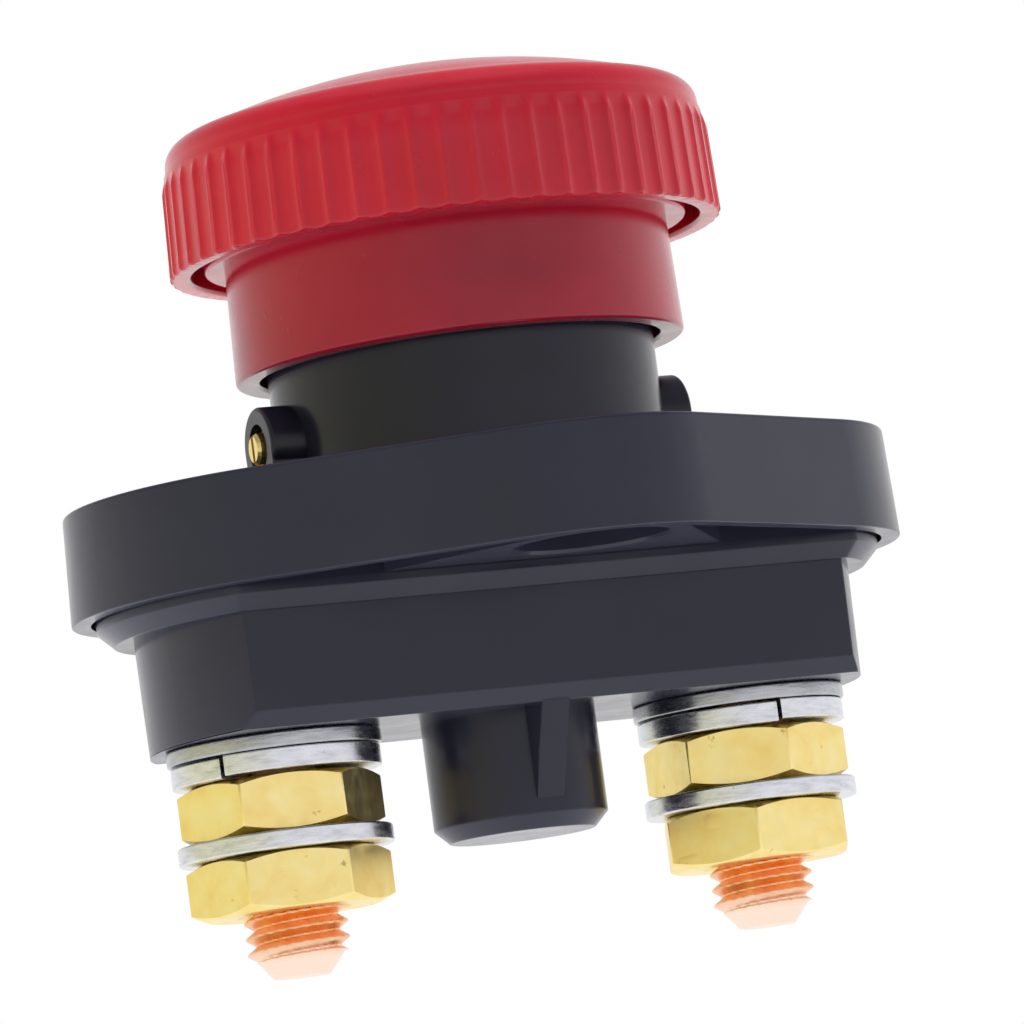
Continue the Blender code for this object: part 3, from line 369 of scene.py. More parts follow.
def finished(item, node, body, material):
    """Smooths a piece's shading, gives it its material and puts it in a plain solid's place."""
    mesh = item.data
    mesh.shade_smooth()
    mesh.set_sharp_from_angle(angle=math.radians(SHARP_ANGLE))
    mesh.materials.clear()
    mesh.materials.append(material)
    item.name = node + "_fine"
    weighted = item.modifiers.new("flat_faces", 'WEIGHTED_NORMAL')
    weighted.keep_sharp = True
    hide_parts(node)
    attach(item, body)
    return item


class Nodes:
    """Short calls for building a material's node tree."""

    def __init__(self, name, roughness=0.5, metallic=0.0):
        self.material = bpy.data.materials.new(name)
        self.material.use_nodes = True
        self.tree = self.material.node_tree
        self.shader = self.tree.nodes["Principled BSDF"]
        self.shader.inputs["Roughness"].default_value = roughness
        self.shader.inputs["Metallic"].default_value = metallic
        self.place = self.add("ShaderNodeTexCoord").outputs["Object"]

    def add(self, kind, **values):
        node = self.tree.nodes.new(kind)
        for key, value in values.items():
            setattr(node, key, value)
        return node

    def link(self, source, target):
        self.tree.links.new(source, target)

    def stretched(self, scale):
        mapping = self.add("ShaderNodeMapping")
        mapping.inputs["Scale"].default_value = scale
        self.link(self.place, mapping.inputs["Vector"])
        return mapping.outputs["Vector"]

    def noise(self, scale, detail=3.0, roughness=0.55, distortion=0.0, vector=None):
        node = self.add("ShaderNodeTexNoise")
        node.inputs["Scale"].default_value = scale
        node.inputs["Detail"].default_value = detail
        node.inputs["Roughness"].default_value = roughness
        node.inputs["Distortion"].default_value = distortion
        self.link(self.place if vector is None else vector, node.inputs["Vector"])
        return node.outputs["Fac"]

    def ramp(self, value, stops):
        """A colour ramp from (position, colour) stops. A plain number stands for a grey."""
        node = self.add("ShaderNodeValToRGB")
        elements = node.color_ramp.elements
        while len(elements) < len(stops):
            elements.new(0.5)
        for element, (position, colour) in zip(elements, stops):
            element.position = position
            grey = isinstance(colour, float)
            element.color = (colour, colour, colour, 1.0) if grey else (*colour, 1.0)
        self.link(value, node.inputs["Fac"])
        return node.outputs["Color"]

    def range(self, value, low, high, start=0.3, end=0.7):
        node = self.add("ShaderNodeMapRange")
        node.inputs["From Min"].default_value = start
        node.inputs["From Max"].default_value = end
        node.inputs["To Min"].default_value = low
        node.inputs["To Max"].default_value = high
        self.link(value, node.inputs["Value"])
        return node.outputs["Result"]

    def mixed(self, factor, first, second):
        node = self.add("ShaderNodeMix", data_type='RGBA')
        self.link(factor, node.inputs["Factor"])
        for source, socket in ((first, "A"), (second, "B")):
            target = next(s for s in node.inputs if s.name == socket and s.type == 'RGBA')
            if isinstance(source, tuple):
                target.default_value = (*source, 1.0)
            else:
                self.link(source, target)
        return next(s for s in node.outputs if s.type == 'RGBA')

    def colour(self, source):
        self.link(source, self.shader.inputs["Base Color"])

    def rough(self, source):
        self.link(source, self.shader.inputs["Roughness"])

    def bump(self, *layers):
        """Bump from (height, distance) layers, each on top of the one before."""
        normal = None
        for height, distance in layers:
            node = self.add("ShaderNodeBump")
            node.inputs["Distance"].default_value = distance
            self.link(height, node.inputs["Height"])
            if normal is not None:
                self.link(normal, node.inputs["Normal"])
            normal = node.outputs["Normal"]
        self.link(normal, self.shader.inputs["Normal"])


def moulded_red(name, dark, light):
    """Glossy injection-moulded plastic with a faint mottle and handling haze."""
    m = Nodes(name)
    m.colour(m.ramp(m.noise(90.0, detail=4.0), [(0.30, dark), (0.70, light)]))
    m.rough(m.range(m.noise(260.0, detail=5.0, roughness=0.6), 0.20, 0.28))
    wave = m.noise(500.0, detail=2.0)
    grain = m.noise(4200.0, detail=2.0)
    m.bump((wave, 0.00001), (grain, 0.000003))
    m.shader.inputs["IOR"].default_value = RED_IOR
    m.shader.inputs["Coat Weight"].default_value = RED_COAT
    m.shader.inputs["Coat Roughness"].default_value = RED_COAT_ROUGHNESS
    return m.material


def moulded_black(name):
    """Semi-gloss black moulding with a fine grain and slightly duller patches."""
    m = Nodes(name)
    m.colour(m.ramp(m.noise(60.0, detail=5.0), HOUSING_BLACK))
    m.rough(m.range(m.noise(150.0, detail=6.0, roughness=0.65), 0.17, 0.25))
    wave = m.noise(160.0, detail=2.0)
    grain = m.noise(5200.0, roughness=0.6)
    m.bump((wave, 0.00003), (grain, 0.000006))
    m.shader.inputs["IOR"].default_value = BLACK_IOR
    return m.material


def turned_brass(name):
    """Brass bar stock with a dull skin, small dents and a few dark stains."""
    m = Nodes(name, metallic=1.0)
    tone = m.ramp(m.noise(300.0, detail=5.0, distortion=0.4), BRASS)
    stain = m.range(m.noise(700.0, roughness=0.6), 0.0, 0.7, start=0.68, end=0.76)
    m.colour(m.mixed(stain, tone, BRASS_STAIN))
    m.rough(m.range(m.noise(650.0, detail=5.0, roughness=0.65), 0.28, 0.42))
    dents = m.range(m.noise(330.0, detail=1.0, roughness=0.4), 0.0, 1.0, start=0.64, end=0.80)
    skin = m.noise(1100.0, roughness=0.6)
    m.bump((dents, 0.00003), (skin, 0.000006))
    return m.material


def bright_zinc(name, level=1.0):
    """Bright zinc plate on rolled steel: bluish white, with streaks round the rim and dark flecks.

    A lower level makes the plate darker.
    """
    m = Nodes(name, metallic=1.0)
    streak = m.noise(420.0, detail=5.0, roughness=0.62, vector=m.stretched((1.0, 1.0, 4.0)))
    tone = m.ramp(streak, [(place, tuple(level * part for part in shade)) for place, shade in ZINC])
    fleck = m.range(m.noise(1300.0, roughness=0.6), 0.0, 0.7, start=0.68, end=0.78)
    m.colour(m.mixed(fleck, tone, ZINC_FLECK))
    m.rough(m.range(streak, 0.18, 0.34))
    m.bump((m.noise(700.0, vector=m.stretched((1.0, 1.0, 5.0))), 0.00002))
    return m.material


def bare_copper(name):
    """Copper with darker patches, and paler at the studs' free ends."""
    m = Nodes(name, metallic=1.0)
    tone = m.ramp(m.noise(500.0, detail=5.0, roughness=0.6), COPPER)
    split = m.add("ShaderNodeSeparateXYZ")
    m.link(m.place, split.inputs["Vector"])
    pale = m.range(split.outputs["Z"], 1.0, 0.0, STUD_PALE_BELOW - STUD_TAPER, STUD_PALE_BELOW)
    m.colour(m.mixed(pale, tone, COPPER_TIP))
    m.rough(m.range(m.noise(800.0, detail=4.0, roughness=0.6), 0.22, 0.38))
    m.bump((m.noise(1400.0, roughness=0.6, vector=m.stretched((1.0, 1.0, 3.0))), 0.00001))
    return m.material


def plain_metal(name, dark, light):
    """Drawn or ground steel for the pieces inside the housing."""
    m = Nodes(name, metallic=1.0)
    m.colour(m.ramp(m.noise(700.0, detail=4.0), [(0.30, dark), (0.70, light)]))
    m.rough(m.range(m.noise(1200.0, detail=4.0), 0.18, 0.34))
    m.bump((m.noise(1800.0), 0.00001))
    return m.material


def soft_rubber(name):
    m = Nodes(name)
    m.colour(m.ramp(m.noise(500.0, detail=4.0), RUBBER))
    m.rough(m.range(m.noise(900.0, detail=4.0), 0.58, 0.76))
    m.bump((m.noise(3000.0), 0.00001))
    return m.material


def natural_acetal(name):
    m = Nodes(name)
    m.colour(m.ramp(m.noise(200.0, detail=4.0), ACETAL))
    m.rough(m.range(m.noise(600.0, detail=4.0), 0.36, 0.50))
    m.bump((m.noise(2600.0), 0.00001))
    return m.material


def height_span(node):
    low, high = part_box(node)
    return low[2], high[2]


def middle_x(node):
    low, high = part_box(node)
    return (low[0] + high[0]) / 2


def knob_profile():
    """The cap's (radius, height, share of a flute's depth) points, from its inside to its crown."""
    bottom, top = height_span("knob_cap")
    radius = KNOB_RADIUS
    grip_top = bottom + GRIP_HEIGHT
    lip_top = grip_top + LIP_HEIGHT
    inner = radius - KNOB_WALL
    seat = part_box("knob_sleeve")[1][2] + FIT
    shoulder = seat - FIT - SHOULDER_DEPTH
    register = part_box("knob_sleeve")[1][0] + FIT
    lip_radius = radius - KNOB_DRAFT - LIP_STEP
    crown_edge = lip_radius - LIP_ROUND
    crown_rise = top - lip_top
    crown_radius = (crown_edge ** 2 + crown_rise ** 2) / (2 * crown_rise)
    inside = [
        (SEAT_RING_RADIUS - SEAT_RING_WIDTH, lip_top),
        (SEAT_RING_RADIUS - SEAT_RING_WIDTH, seat),
        (SEAT_RING_RADIUS, seat),
        (SEAT_RING_RADIUS, top - CROWN_WALL - LIP_HEIGHT),
        (register, lip_top - CROWN_WALL),
        (register, shoulder),
        (inner, shoulder),
    ]
    points = [(x, z, 0.0) for x, z in inside]
    edge = KNOB_RIM_ROUND
    rim = arc(inner + edge, bottom + edge, edge, -math.pi, -math.pi / 2, EDGE_STEPS)
    points += [(x, z, 0.0) for x, z in rim]
    rim = arc(radius - edge, bottom + edge, edge, -math.pi / 2, 0.0, EDGE_STEPS)
    points += [(x, z, (x - rim[0][0]) / edge) for x, z in rim]
    run_out = grip_top - RIDGE_END
    for i in range(1, GRIP_STEPS + 1):
        height = rim[-1][1] + (run_out - rim[-1][1]) * i / GRIP_STEPS
        points.append((radius - KNOB_DRAFT * (height - bottom) / GRIP_HEIGHT, height, 1.0))
    floor_radius = radius - KNOB_DRAFT - FLUTE_DEPTH
    fade_steps = 2 * EDGE_STEPS
    for i in range(1, fade_steps + 1):
        ridge = (1.0 + math.cos(math.pi * i / fade_steps)) / 2
        height = run_out + RIDGE_END * i / fade_steps
        points.append((floor_radius + FLUTE_DEPTH * ridge, height, ridge))
    points.append((lip_radius, grip_top + LIP_STEP, 0.0))
    sweep = math.radians(LIP_SWEEP)
    lip = arc(crown_edge, lip_top - LIP_ROUND, LIP_ROUND, 0.0, sweep, 2 * EDGE_STEPS)
    points += [(x, z, 0.0) for x, z in lip]
    centre_height = top - crown_radius
    end_angle = math.asin(lip[-1][0] / crown_radius)
    for i in range(1, CROWN_STEPS):
        angle = end_angle * (1 - i / CROWN_STEPS)
        height = centre_height + crown_radius * math.cos(angle)
        points.append((crown_radius * math.sin(angle), height, 0.0))
    return points


def flute_dip(turn):
    """How far a flute cuts in at this share of its pitch, from 0 on the land to 1 at its middle."""
    offset = abs(2 * (turn % 1.0) - 1.0) / FLUTE_SHARE
    if offset >= 1.0:
        return 0.0
    return 1.0 - offset ** FLUTE_POWER


def knob_cap(material):
    steps = FLUTE_COUNT * FLUTE_STEPS
    dips = [flute_dip(i / FLUTE_STEPS) for i in range(steps)]
    rings = []
    for radius, height, share in knob_profile():
        ring = []
        for i in range(steps):
            angle = 2 * math.pi * (i / steps - 0.5 / FLUTE_COUNT) + math.radians(FLUTE_TURN)
            reach = radius - FLUTE_DEPTH * share * dips[i]
            ring.append((reach * math.cos(angle), reach * math.sin(angle), height))
        rings.append(ring)
    piece = new_object("knob_cap_fine", rings_mesh("knob_cap", rings))
    return finished(piece, "knob_cap", "plunger", material)


def knob_sleeve(material):
    """The sleeve and its ring under the cap, with rounded rims."""
    bottom, top = height_span("knob_sleeve")
    ring_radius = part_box("knob_sleeve")[1][0]
    ring_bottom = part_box("knob_cap")[0][2] + KNOB_DRAFT
    bore = SLEEVE_RADIUS - SLEEVE_WALL
    edge = SLEEVE_RIM_ROUND
    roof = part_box("plunger")[1][2] + FIT
    profile = [(SCREW_HOLE, top), (SCREW_HOLE, roof), (bore, roof)]
    profile += arc(bore + edge, bottom + edge, edge, -math.pi, -math.pi / 2, EDGE_STEPS)
    profile += arc(SLEEVE_RADIUS - edge, bottom + edge, edge, -math.pi / 2, 0.0, EDGE_STEPS)
    profile += [(SLEEVE_RADIUS - SLEEVE_DRAFT, ring_bottom)]
    profile += arc(ring_radius - edge, ring_bottom + edge, edge, -math.pi / 2, 0.0, EDGE_STEPS)
    profile += [(ring_radius, top)]
    piece = new_object("knob_sleeve_fine", lathe("knob_sleeve", profile, WIDE_STEPS, closed=True))
    return finished(piece, "knob_sleeve", "plunger", material)


def diamond_outline(inset):
    """The flange's outline: two end arcs and two lobe arcs, joined by their common tangents."""
    low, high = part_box("upper_housing")
    end_x = high[0] - END_RADIUS
    lobe_y = high[1] - LOBE_RADIUS
    lean = math.acos((END_RADIUS - LOBE_RADIUS) / math.hypot(end_x, lobe_y))
    turn = math.atan2(lobe_y, -end_x) - lean
    end = END_RADIUS - inset
    lobe = LOBE_RADIUS - inset
    points = arc(end_x, 0.0, end, -turn, turn, ARC_STEPS)
    points += arc(0.0, lobe_y, lobe, turn, math.pi - turn, ARC_STEPS)
    points += arc(-end_x, 0.0, end, math.pi - turn, math.pi + turn, ARC_STEPS)
    points += arc(0.0, -lobe_y, lobe, math.pi + turn, 2 * math.pi - turn, ARC_STEPS)
    return points


def bar_outline(half_length, half_width, end_radius, inset=0.0, corner=0.0):
    """A bar with straight sides and arc ends, shrunk all round, with its four corners rounded."""
    radius = end_radius - inset
    reach = half_width - inset
    centre = half_length - end_radius
    limit = math.asin(reach / radius)
    if corner == 0.0:
        quarter = arc(centre, 0.0, radius, 0.0, limit, ARC_STEPS)
    else:
        corner_y = reach - corner
        span = radius - corner
        corner_x = centre + math.sqrt(span ** 2 - corner_y ** 2)
        meet = math.asin(corner_y / span)
        quarter = arc(centre, 0.0, radius, 0.0, meet, ARC_STEPS)
        quarter += arc(corner_x, corner_y, corner, meet, math.pi / 2, EDGE_STEPS)[1:]
    top = quarter + [(-x, y) for x, y in quarter[::-1]]
    return top + [(x, -y) for x, y in top[::-1][1:-1]]


def flange():
    """The flange's skirt and roof as one rounded block."""
    def draft(height):
        return FLANGE_DRAFT * height / FLANGE_HEIGHT
    sections = []
    rim = FLANGE_RIM_ROUND
    for x, z in arc(-rim, rim, rim, -math.pi / 2, 0.0, EDGE_STEPS):
        sections.append((diamond_outline(draft(z) - x), z))
    start = FLANGE_HEIGHT - FLANGE_TOP_ROUND
    for x, z in arc(-FLANGE_TOP_ROUND, start, FLANGE_TOP_ROUND, 0.0, math.pi / 2, EDGE_STEPS):
        sections.append((diamond_outline(draft(z) - x), z))
    return new_object("upper_housing_fine", loft("upper_housing", sections))


def skirt_cavity():
    """The space inside the skirt, less the solid pad round each mounting hole."""
    ceiling = FLANGE_HEIGHT - FLANGE_ROOF
    taper = FLANGE_DRAFT * ceiling / FLANGE_HEIGHT
    sections = [(diamond_outline(SKIRT_WALL), -CUT), (diamond_outline(SKIRT_WALL + taper), ceiling)]
    cavity = new_object("skirt_cavity", loft("skirt_cavity", sections))
    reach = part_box("upper_housing")[1][1] + CUT
    narrow = PAD_HALF_WIDTH - PAD_TAPER * (reach - PAD_INNER)
    pads = []
    for side in (-1, 1):
        corners = [
            (-side * PAD_HALF_WIDTH, side * PAD_INNER),
            (side * PAD_HALF_WIDTH, side * PAD_INNER),
            (side * narrow, side * reach),
            (-side * narrow, side * reach),
        ]
        pad = new_object("pad", loft("pad", [(corners, -2 * CUT), (corners, ceiling + CUT)]))
        pads.append((pad, 'DIFFERENCE'))
    return combined(cavity, pads)


def neck():
    """The guide tube, with a small round where it meets the flange."""
    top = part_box("upper_housing")[1][2]
    root = FLANGE_HEIGHT - FLANGE_ROOF / 2
    profile = [(PLUNGER_BORE, root), (NECK_RADIUS + NECK_ROOT_ROUND, root)]
    profile += arc(NECK_RADIUS + NECK_ROOT_ROUND, FLANGE_HEIGHT + NECK_ROOT_ROUND, NECK_ROOT_ROUND,
                   -math.pi / 2, -math.pi, 2 * EDGE_STEPS)
    profile += arc(NECK_RADIUS - NECK_TOP_ROUND, top - NECK_TOP_ROUND, NECK_TOP_ROUND,
                   0.0, math.pi / 2, EDGE_STEPS)
    profile += [(PLUNGER_BORE, top)]
    return new_object("neck", lathe("neck", profile, WIDE_STEPS))


def across(item):
    """Turns a piece that stands along Z so that it lies along X."""
    item.data.transform(Matrix.Rotation(math.pi / 2, 4, 'Y'))
    return item


def boss(side):
    """One detent boss with its web and foot, as a single rounded body."""
    edge = arc(BOSS_RADIUS - BOSS_EDGE, BOSS_REACH - BOSS_EDGE, BOSS_EDGE,
               0.0, math.pi / 2, EDGE_STEPS)
    start = NECK_RADIUS - BOSS_RADIUS
    body = across(new_object("boss", lathe("boss", [(BOSS_RADIUS, start)] + edge, SMALL_STEPS)))
    body.location.z = BOSS_HEIGHT
    if side < 0:
        body.rotation_euler.z = math.pi
    body = baked(body, "boss")
    low = FLANGE_HEIGHT - FLANGE_ROOF / 2
    middle = side * (BOSS_REACH + start) / 2
    web_size = (BOSS_REACH - start, 2 * BOSS_RADIUS - 2 * BOSS_EDGE, BOSS_HEIGHT - low)
    web = new_object("web", block("web", web_size, (middle, 0.0, (BOSS_HEIGHT + low) / 2)))
    foot_reach = BOSS_REACH + BOSS_FOOT_LENGTH
    foot_size = (foot_reach - start, 2 * BOSS_RADIUS, FLANGE_HEIGHT + BOSS_FOOT_HEIGHT - low)
    foot_centre = (side * (foot_reach + start) / 2, 0.0, low + foot_size[2] / 2)
    foot = eased(new_object("foot", block("foot", foot_size, foot_centre)), BOSS_EDGE)
    return combined(body, [(web, 'UNION'), (foot, 'UNION')])


def mount_cutter(side):
    """The mounting hole and its recess, with lightly broken edges."""
    e = MOUNT_EDGE
    profile = [
        (MOUNT_RECESS_RADIUS + e, -CUT),
        (MOUNT_RECESS_RADIUS + e, 0.0),
        (MOUNT_RECESS_RADIUS, e),
        (MOUNT_RECESS_RADIUS, MOUNT_RECESS_DEPTH),
        (MOUNT_RADIUS + e, MOUNT_RECESS_DEPTH),
        (MOUNT_RADIUS, MOUNT_RECESS_DEPTH + e),
        (MOUNT_RADIUS, FLANGE_HEIGHT - e),
        (MOUNT_RADIUS + e, FLANGE_HEIGHT),
        (MOUNT_RADIUS + e, FLANGE_HEIGHT + CUT),
    ]
    hole = new_object("mount", lathe("mount", profile, SMALL_STEPS))
    hole.location.y = side * MOUNT_OFFSET
    return hole


def upper_housing(material):
    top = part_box("upper_housing")[1][2]
    drill_profile = [(BOSS_BORE, PLUNGER_BORE - BOSS_BORE), (BOSS_BORE, BOSS_REACH + CUT)]
    drill = across(new_object("drill", lathe("drill", drill_profile, SMALL_STEPS)))
    other = drill.copy()
    bpy.context.scene.collection.objects.link(other)
    other.rotation_euler.z = math.pi
    drill.location.z = BOSS_HEIGHT
    other.location.z = BOSS_HEIGHT
    seal_low, seal_high = height_span("shaft_seal")
    gland = (seal_low + seal_high) / 2
    bore_profile = [
        (PLUNGER_BORE, 0.0),
        (PLUNGER_BORE, gland - GLAND_HALF_HEIGHT),
        (GLAND_RADIUS, gland - GLAND_HALF_HEIGHT),
        (GLAND_RADIUS, gland + GLAND_HALF_HEIGHT),
        (PLUNGER_BORE, gland + GLAND_HALF_HEIGHT),
        (PLUNGER_BORE, top + CUT),
    ]
    bore = new_object("bore", lathe("bore", bore_profile, SMALL_STEPS))
    shell = combined(flange(), [(skirt_cavity(), 'DIFFERENCE')])
    shell = combined(shell, [(neck(), 'UNION'), (boss(-1), 'UNION'), (boss(1), 'UNION')])
    cuts = [bore, drill, other, mount_cutter(-1), mount_cutter(1)]
    shell = combined(shell, [(tool, 'DIFFERENCE') for tool in cuts])
    return finished(shell, "upper_housing", "housing", material)


def rounded(points, radius):
    """The polyline with each inner corner turned into an arc."""
    result = [points[0]]
    for before, corner, after in zip(points, points[1:], points[2:]):
        here = Vector(corner)
        into = (here - Vector(before)).normalized()
        out = (Vector(after) - here).normalized()
        turn = into.angle_signed(out)
        setback = radius * math.tan(abs(turn) / 2)
        start = here - into * setback
        side = 1.0 if turn > 0 else -1.0
        centre = start + Vector((into.y, -into.x)) * radius * side
        spoke = start - centre
        for i in range(EDGE_STEPS + 1):
            swing = Matrix.Rotation(-turn * i / EDGE_STEPS, 2)
            point = centre + swing @ spoke
            result.append((point.x, point.y))
    result.append(points[-1])
    return result


def width_at(points, height):
    """A profile's width at a height, where its heights only rise."""
    for (low_width, low), (high_width, high) in zip(points, points[1:]):
        if low <= height <= high and high > low:
            return low_width + (high_width - low_width) * (height - low) / (high - low)
    return points[-1][0]


def ledge():
    """The lower housing's top part, which fits in the skirt, chamfered all round underneath."""
    fit = SKIRT_WALL + LEDGE_GAP
    half_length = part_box("upper_housing")[1][0] - fit
    radius = END_RADIUS - fit
    profile = rounded([
        (2 * LEDGE_CHAMFER, -LEDGE_DROP),
        (LEDGE_CHAMFER, -LEDGE_DROP),
        (0.0, LEDGE_CHAMFER - LEDGE_DROP),
        (0.0, 0.0),
        (FLANGE_DRAFT, LOWER_TOP),
    ], BOX_EDGE)[1:]
    sections = []
    for inset, height in profile:
        outline = bar_outline(half_length, LEDGE_HALF_WIDTH, radius, inset, LEDGE_CORNER)
        sections.append((outline, height))
    return new_object("lower_housing_fine", loft("lower_housing", sections))


def terminal_box():
    """The box under the ledge, chamfered along its two straight faces and rounded at its ends."""
    side = rounded([
        (BOX_HALF_WIDTH - 2 * BOX_CHAMFER, -BOX_DEPTH),
        (BOX_HALF_WIDTH - BOX_CHAMFER, -BOX_DEPTH),
        (BOX_HALF_WIDTH, BOX_CHAMFER - BOX_DEPTH),
        (BOX_HALF_WIDTH, 0.0),
    ], BOX_EDGE)[1:]
    end = arc(BOX_EDGE, BOX_EDGE - BOX_DEPTH, BOX_EDGE, -math.pi / 2, -math.pi, 2 * EDGE_STEPS)
    heights = sorted({height for width, height in side} | {height for inset, height in end})
    sections = []
    last = -math.inf
    for height in heights:
        if height - last < SAME_POINT:
            continue
        last = height
        draft = -BOX_DRAFT * height / BOX_DEPTH
        inset = draft + (width_at(end, height) if height < end[-1][1] else 0.0)
        half_width = width_at(side, height) + inset - draft
        outline = bar_outline(BOX_HALF_LENGTH, half_width, BOX_END_RADIUS, inset, BOX_CORNER)
        sections.append((outline, height))
    return new_object("box", loft("box", sections))


def post():
    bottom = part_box("lower_housing")[0][2]
    corner = POST_CHAMFER / 4
    run = corner * math.tan(math.pi / 8)
    inner = POST_RADIUS - POST_CHAMFER - run
    profile = arc(inner, bottom + corner, corner, -math.pi / 2, -math.pi / 4, EDGE_STEPS)
    profile += arc(POST_RADIUS - corner, bottom + POST_CHAMFER + run, corner,
                   -math.pi / 4, 0.0, EDGE_STEPS)
    profile += [(POST_RADIUS, BOX_FLOOR / 2 - BOX_DEPTH)]
    return new_object("post", lathe("post", profile, ROUND_STEPS))


def rib(side):
    """One tapered rib between the box's underside and the post."""
    start = BOX_HALF_WIDTH - BOX_CHAMFER
    root = -BOX_DEPTH + BOX_FLOOR / 2
    inside = POST_RADIUS / 2
    corners = [
        (start, root),
        (start, -BOX_DEPTH),
        (POST_RADIUS, -RIB_FOOT),
        (inside, -RIB_FOOT),
        (inside, root),
    ]
    half = RIB_THICKNESS / 2
    rings = [[(x, side * y, z) for y, z in corners] for x in (-half, half)]
    return eased(new_object("rib", rings_mesh("rib", rings)), RIB_EDGE)


def stud_cutters(side_name):
    """The hexagon pocket for a stud's head and the hole for its shank."""
    floor = BOX_FLOOR - BOX_DEPTH
    low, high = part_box("stud_" + side_name)
    corner = (high[1] - low[1] + 2 * FIT) / math.sqrt(3)
    outline = arc(0.0, 0.0, corner, 0.0, 2 * math.pi, 6)[:-1]
    ends = [(outline, floor - HEAD_POCKET), (outline, floor + CUT)]
    pocket = new_object("pocket", loft("pocket", ends))
    hole_profile = [(STUD_HOLE, -BOX_DEPTH - CUT), (STUD_HOLE, floor)]
    hole = new_object("stud_hole", lathe("stud_hole", hole_profile, SMALL_STEPS))
    for tool in (pocket, hole):
        tool.location.x = middle_x("stud_" + side_name)
    return [pocket, hole]


def lower_housing(material):
    floor = BOX_FLOOR - BOX_DEPTH
    inside = bar_outline(BOX_HALF_LENGTH, BOX_HALF_WIDTH, BOX_END_RADIUS, BOX_WALL)
    cavity = new_object("cavity", loft("cavity", [(inside, floor), (inside, LOWER_TOP + CUT)]))
    bore_profile = [(SPINDLE_CLEARANCE, -POST_BORE_END), (SPINDLE_CLEARANCE, floor + CUT)]
    bore = new_object("bore", lathe("bore", bore_profile, SMALL_STEPS))
    added = [terminal_box(), post(), rib(-1), rib(1)]
    body = combined(ledge(), [(piece, 'UNION') for piece in added])
    cuts = [cavity, bore]
    for side_name in ("left", "right"):
        cuts += stud_cutters(side_name)
    body = combined(body, [(tool, 'DIFFERENCE') for tool in cuts])
    return finished(body, "lower_housing", "housing", material)


def thread_radius(turn, height, taper_top, bottom):
    """The threaded stud's radius at a share of a turn and a height. The tip's taper cuts it off."""
    phase = (height / THREAD_PITCH - turn) % 1.0
    offset = abs(2 * phase - 1.0)
    dip = min(1.0, max(0.0, (offset - THREAD_CREST) / (1.0 - 2 * THREAD_CREST)))
    radius = STUD_RADIUS - THREAD_DEPTH * dip
    if height < taper_top:
        share = (height - bottom) / (taper_top - bottom)
        radius = min(radius, STUD_TIP_RADIUS + (STUD_TAPER_START - STUD_TIP_RADIUS) * share)
    return radius


def stud(side_name, material):
    """A stud with its hexagon head above and a rolled thread at its free end."""
    node = "stud_" + side_name
    bottom, top = height_span(node)
    taper_top = bottom + STUD_TAPER
    steps = ROUND_STEPS
    count = round((THREAD_TOP - bottom) / THREAD_STEP)
    rings = []
    for row in range(count + 1):
        height = bottom + (THREAD_TOP - bottom) * row / count
        ring = []
        for i in range(steps):
            angle = 2 * math.pi * i / steps
            radius = thread_radius(i / steps, height, taper_top, bottom)
            ring.append((radius * math.cos(angle), radius * math.sin(angle), height))
        rings.append(ring)
    for height in (THREAD_TOP + THREAD_STEP, top - SHANK_END):
        plain = arc(0.0, 0.0, STUD_RADIUS, 0.0, 2 * math.pi, steps)[:-1]
        rings.append([(x, y, height) for x, y in plain])
    shank = new_object(node + "_fine", rings_mesh(node, rings))
    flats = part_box(node)[1][1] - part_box(node)[0][1]
    corner = flats / math.sqrt(3)
    outline = arc(0.0, 0.0, corner, 0.0, 2 * math.pi, 6)[:-1]
    head = new_object("head", loft("head", [(outline, top - STUD_HEAD_HEIGHT), (outline, top)]))
    head = eased(head, STUD_HEAD_EDGE)
    shank = combined(shank, [(head, 'UNION')])
    shank.location.x = middle_x(node)
    return finished(baked(shank, node), node, "housing", material)


def nut(name, material):
    """A hexagon nut, chamfered on both faces, with softened corners."""
    bottom, top = height_span(name)
    top += SEATING
    corner = NUT_FLATS / math.sqrt(3)
    outline = arc(0.0, 0.0, corner, 0.0, 2 * math.pi, 6)[:-1]
    body = eased(new_object(name, loft(name, [(outline, bottom), (outline, top)])), NUT_EDGE)
    reach = corner + CUT
    drop = (reach - NUT_FACE_RADIUS) * math.tan(math.radians(NUT_CHAMFER_ANGLE))
    lens_profile = [
        (NUT_FACE_RADIUS, bottom),
        (reach, bottom + drop),
        (reach, top - drop),
        (NUT_FACE_RADIUS, top),
    ]
    lens = new_object("lens", lathe("lens", lens_profile, ROUND_STEPS))
    wide = NUT_BORE + NUT_BORE_CHAMFER
    bore_profile = [
        (wide, bottom - CUT),
        (wide, bottom),
        (NUT_BORE, bottom + NUT_BORE_CHAMFER),
        (NUT_BORE, top - NUT_BORE_CHAMFER),
        (wide, top),
        (wide, top + CUT),
    ]
    bore = new_object("nut_bore", lathe("nut_bore", bore_profile, SMALL_STEPS))
    body.data.transform(Matrix.Rotation(math.radians(NUT_TURNS[name]), 4, 'Z'))
    body = combined(body, [(lens, 'INTERSECT'), (bore, 'DIFFERENCE')])
    body.location.x = middle_x(name)
    body = eased(baked(body, name), NUT_EDGE / 2, NUT_BEVEL_ANGLE)
    return finished(body, name, "housing", material)


def rounded_ring(outer, inner, bottom, top, edge):
    """The section of a washer with rounded edges, as (radius, height) points."""
    points = arc(outer - edge, bottom + edge, edge, -math.pi / 2, 0.0, EDGE_STEPS)
    points += arc(outer - edge, top - edge, edge, 0.0, math.pi / 2, EDGE_STEPS)
    points += arc(inner + edge, top - edge, edge, math.pi / 2, math.pi, EDGE_STEPS)
    points += arc(inner + edge, bottom + edge, edge, math.pi, 3 * math.pi / 2, EDGE_STEPS)
    return points


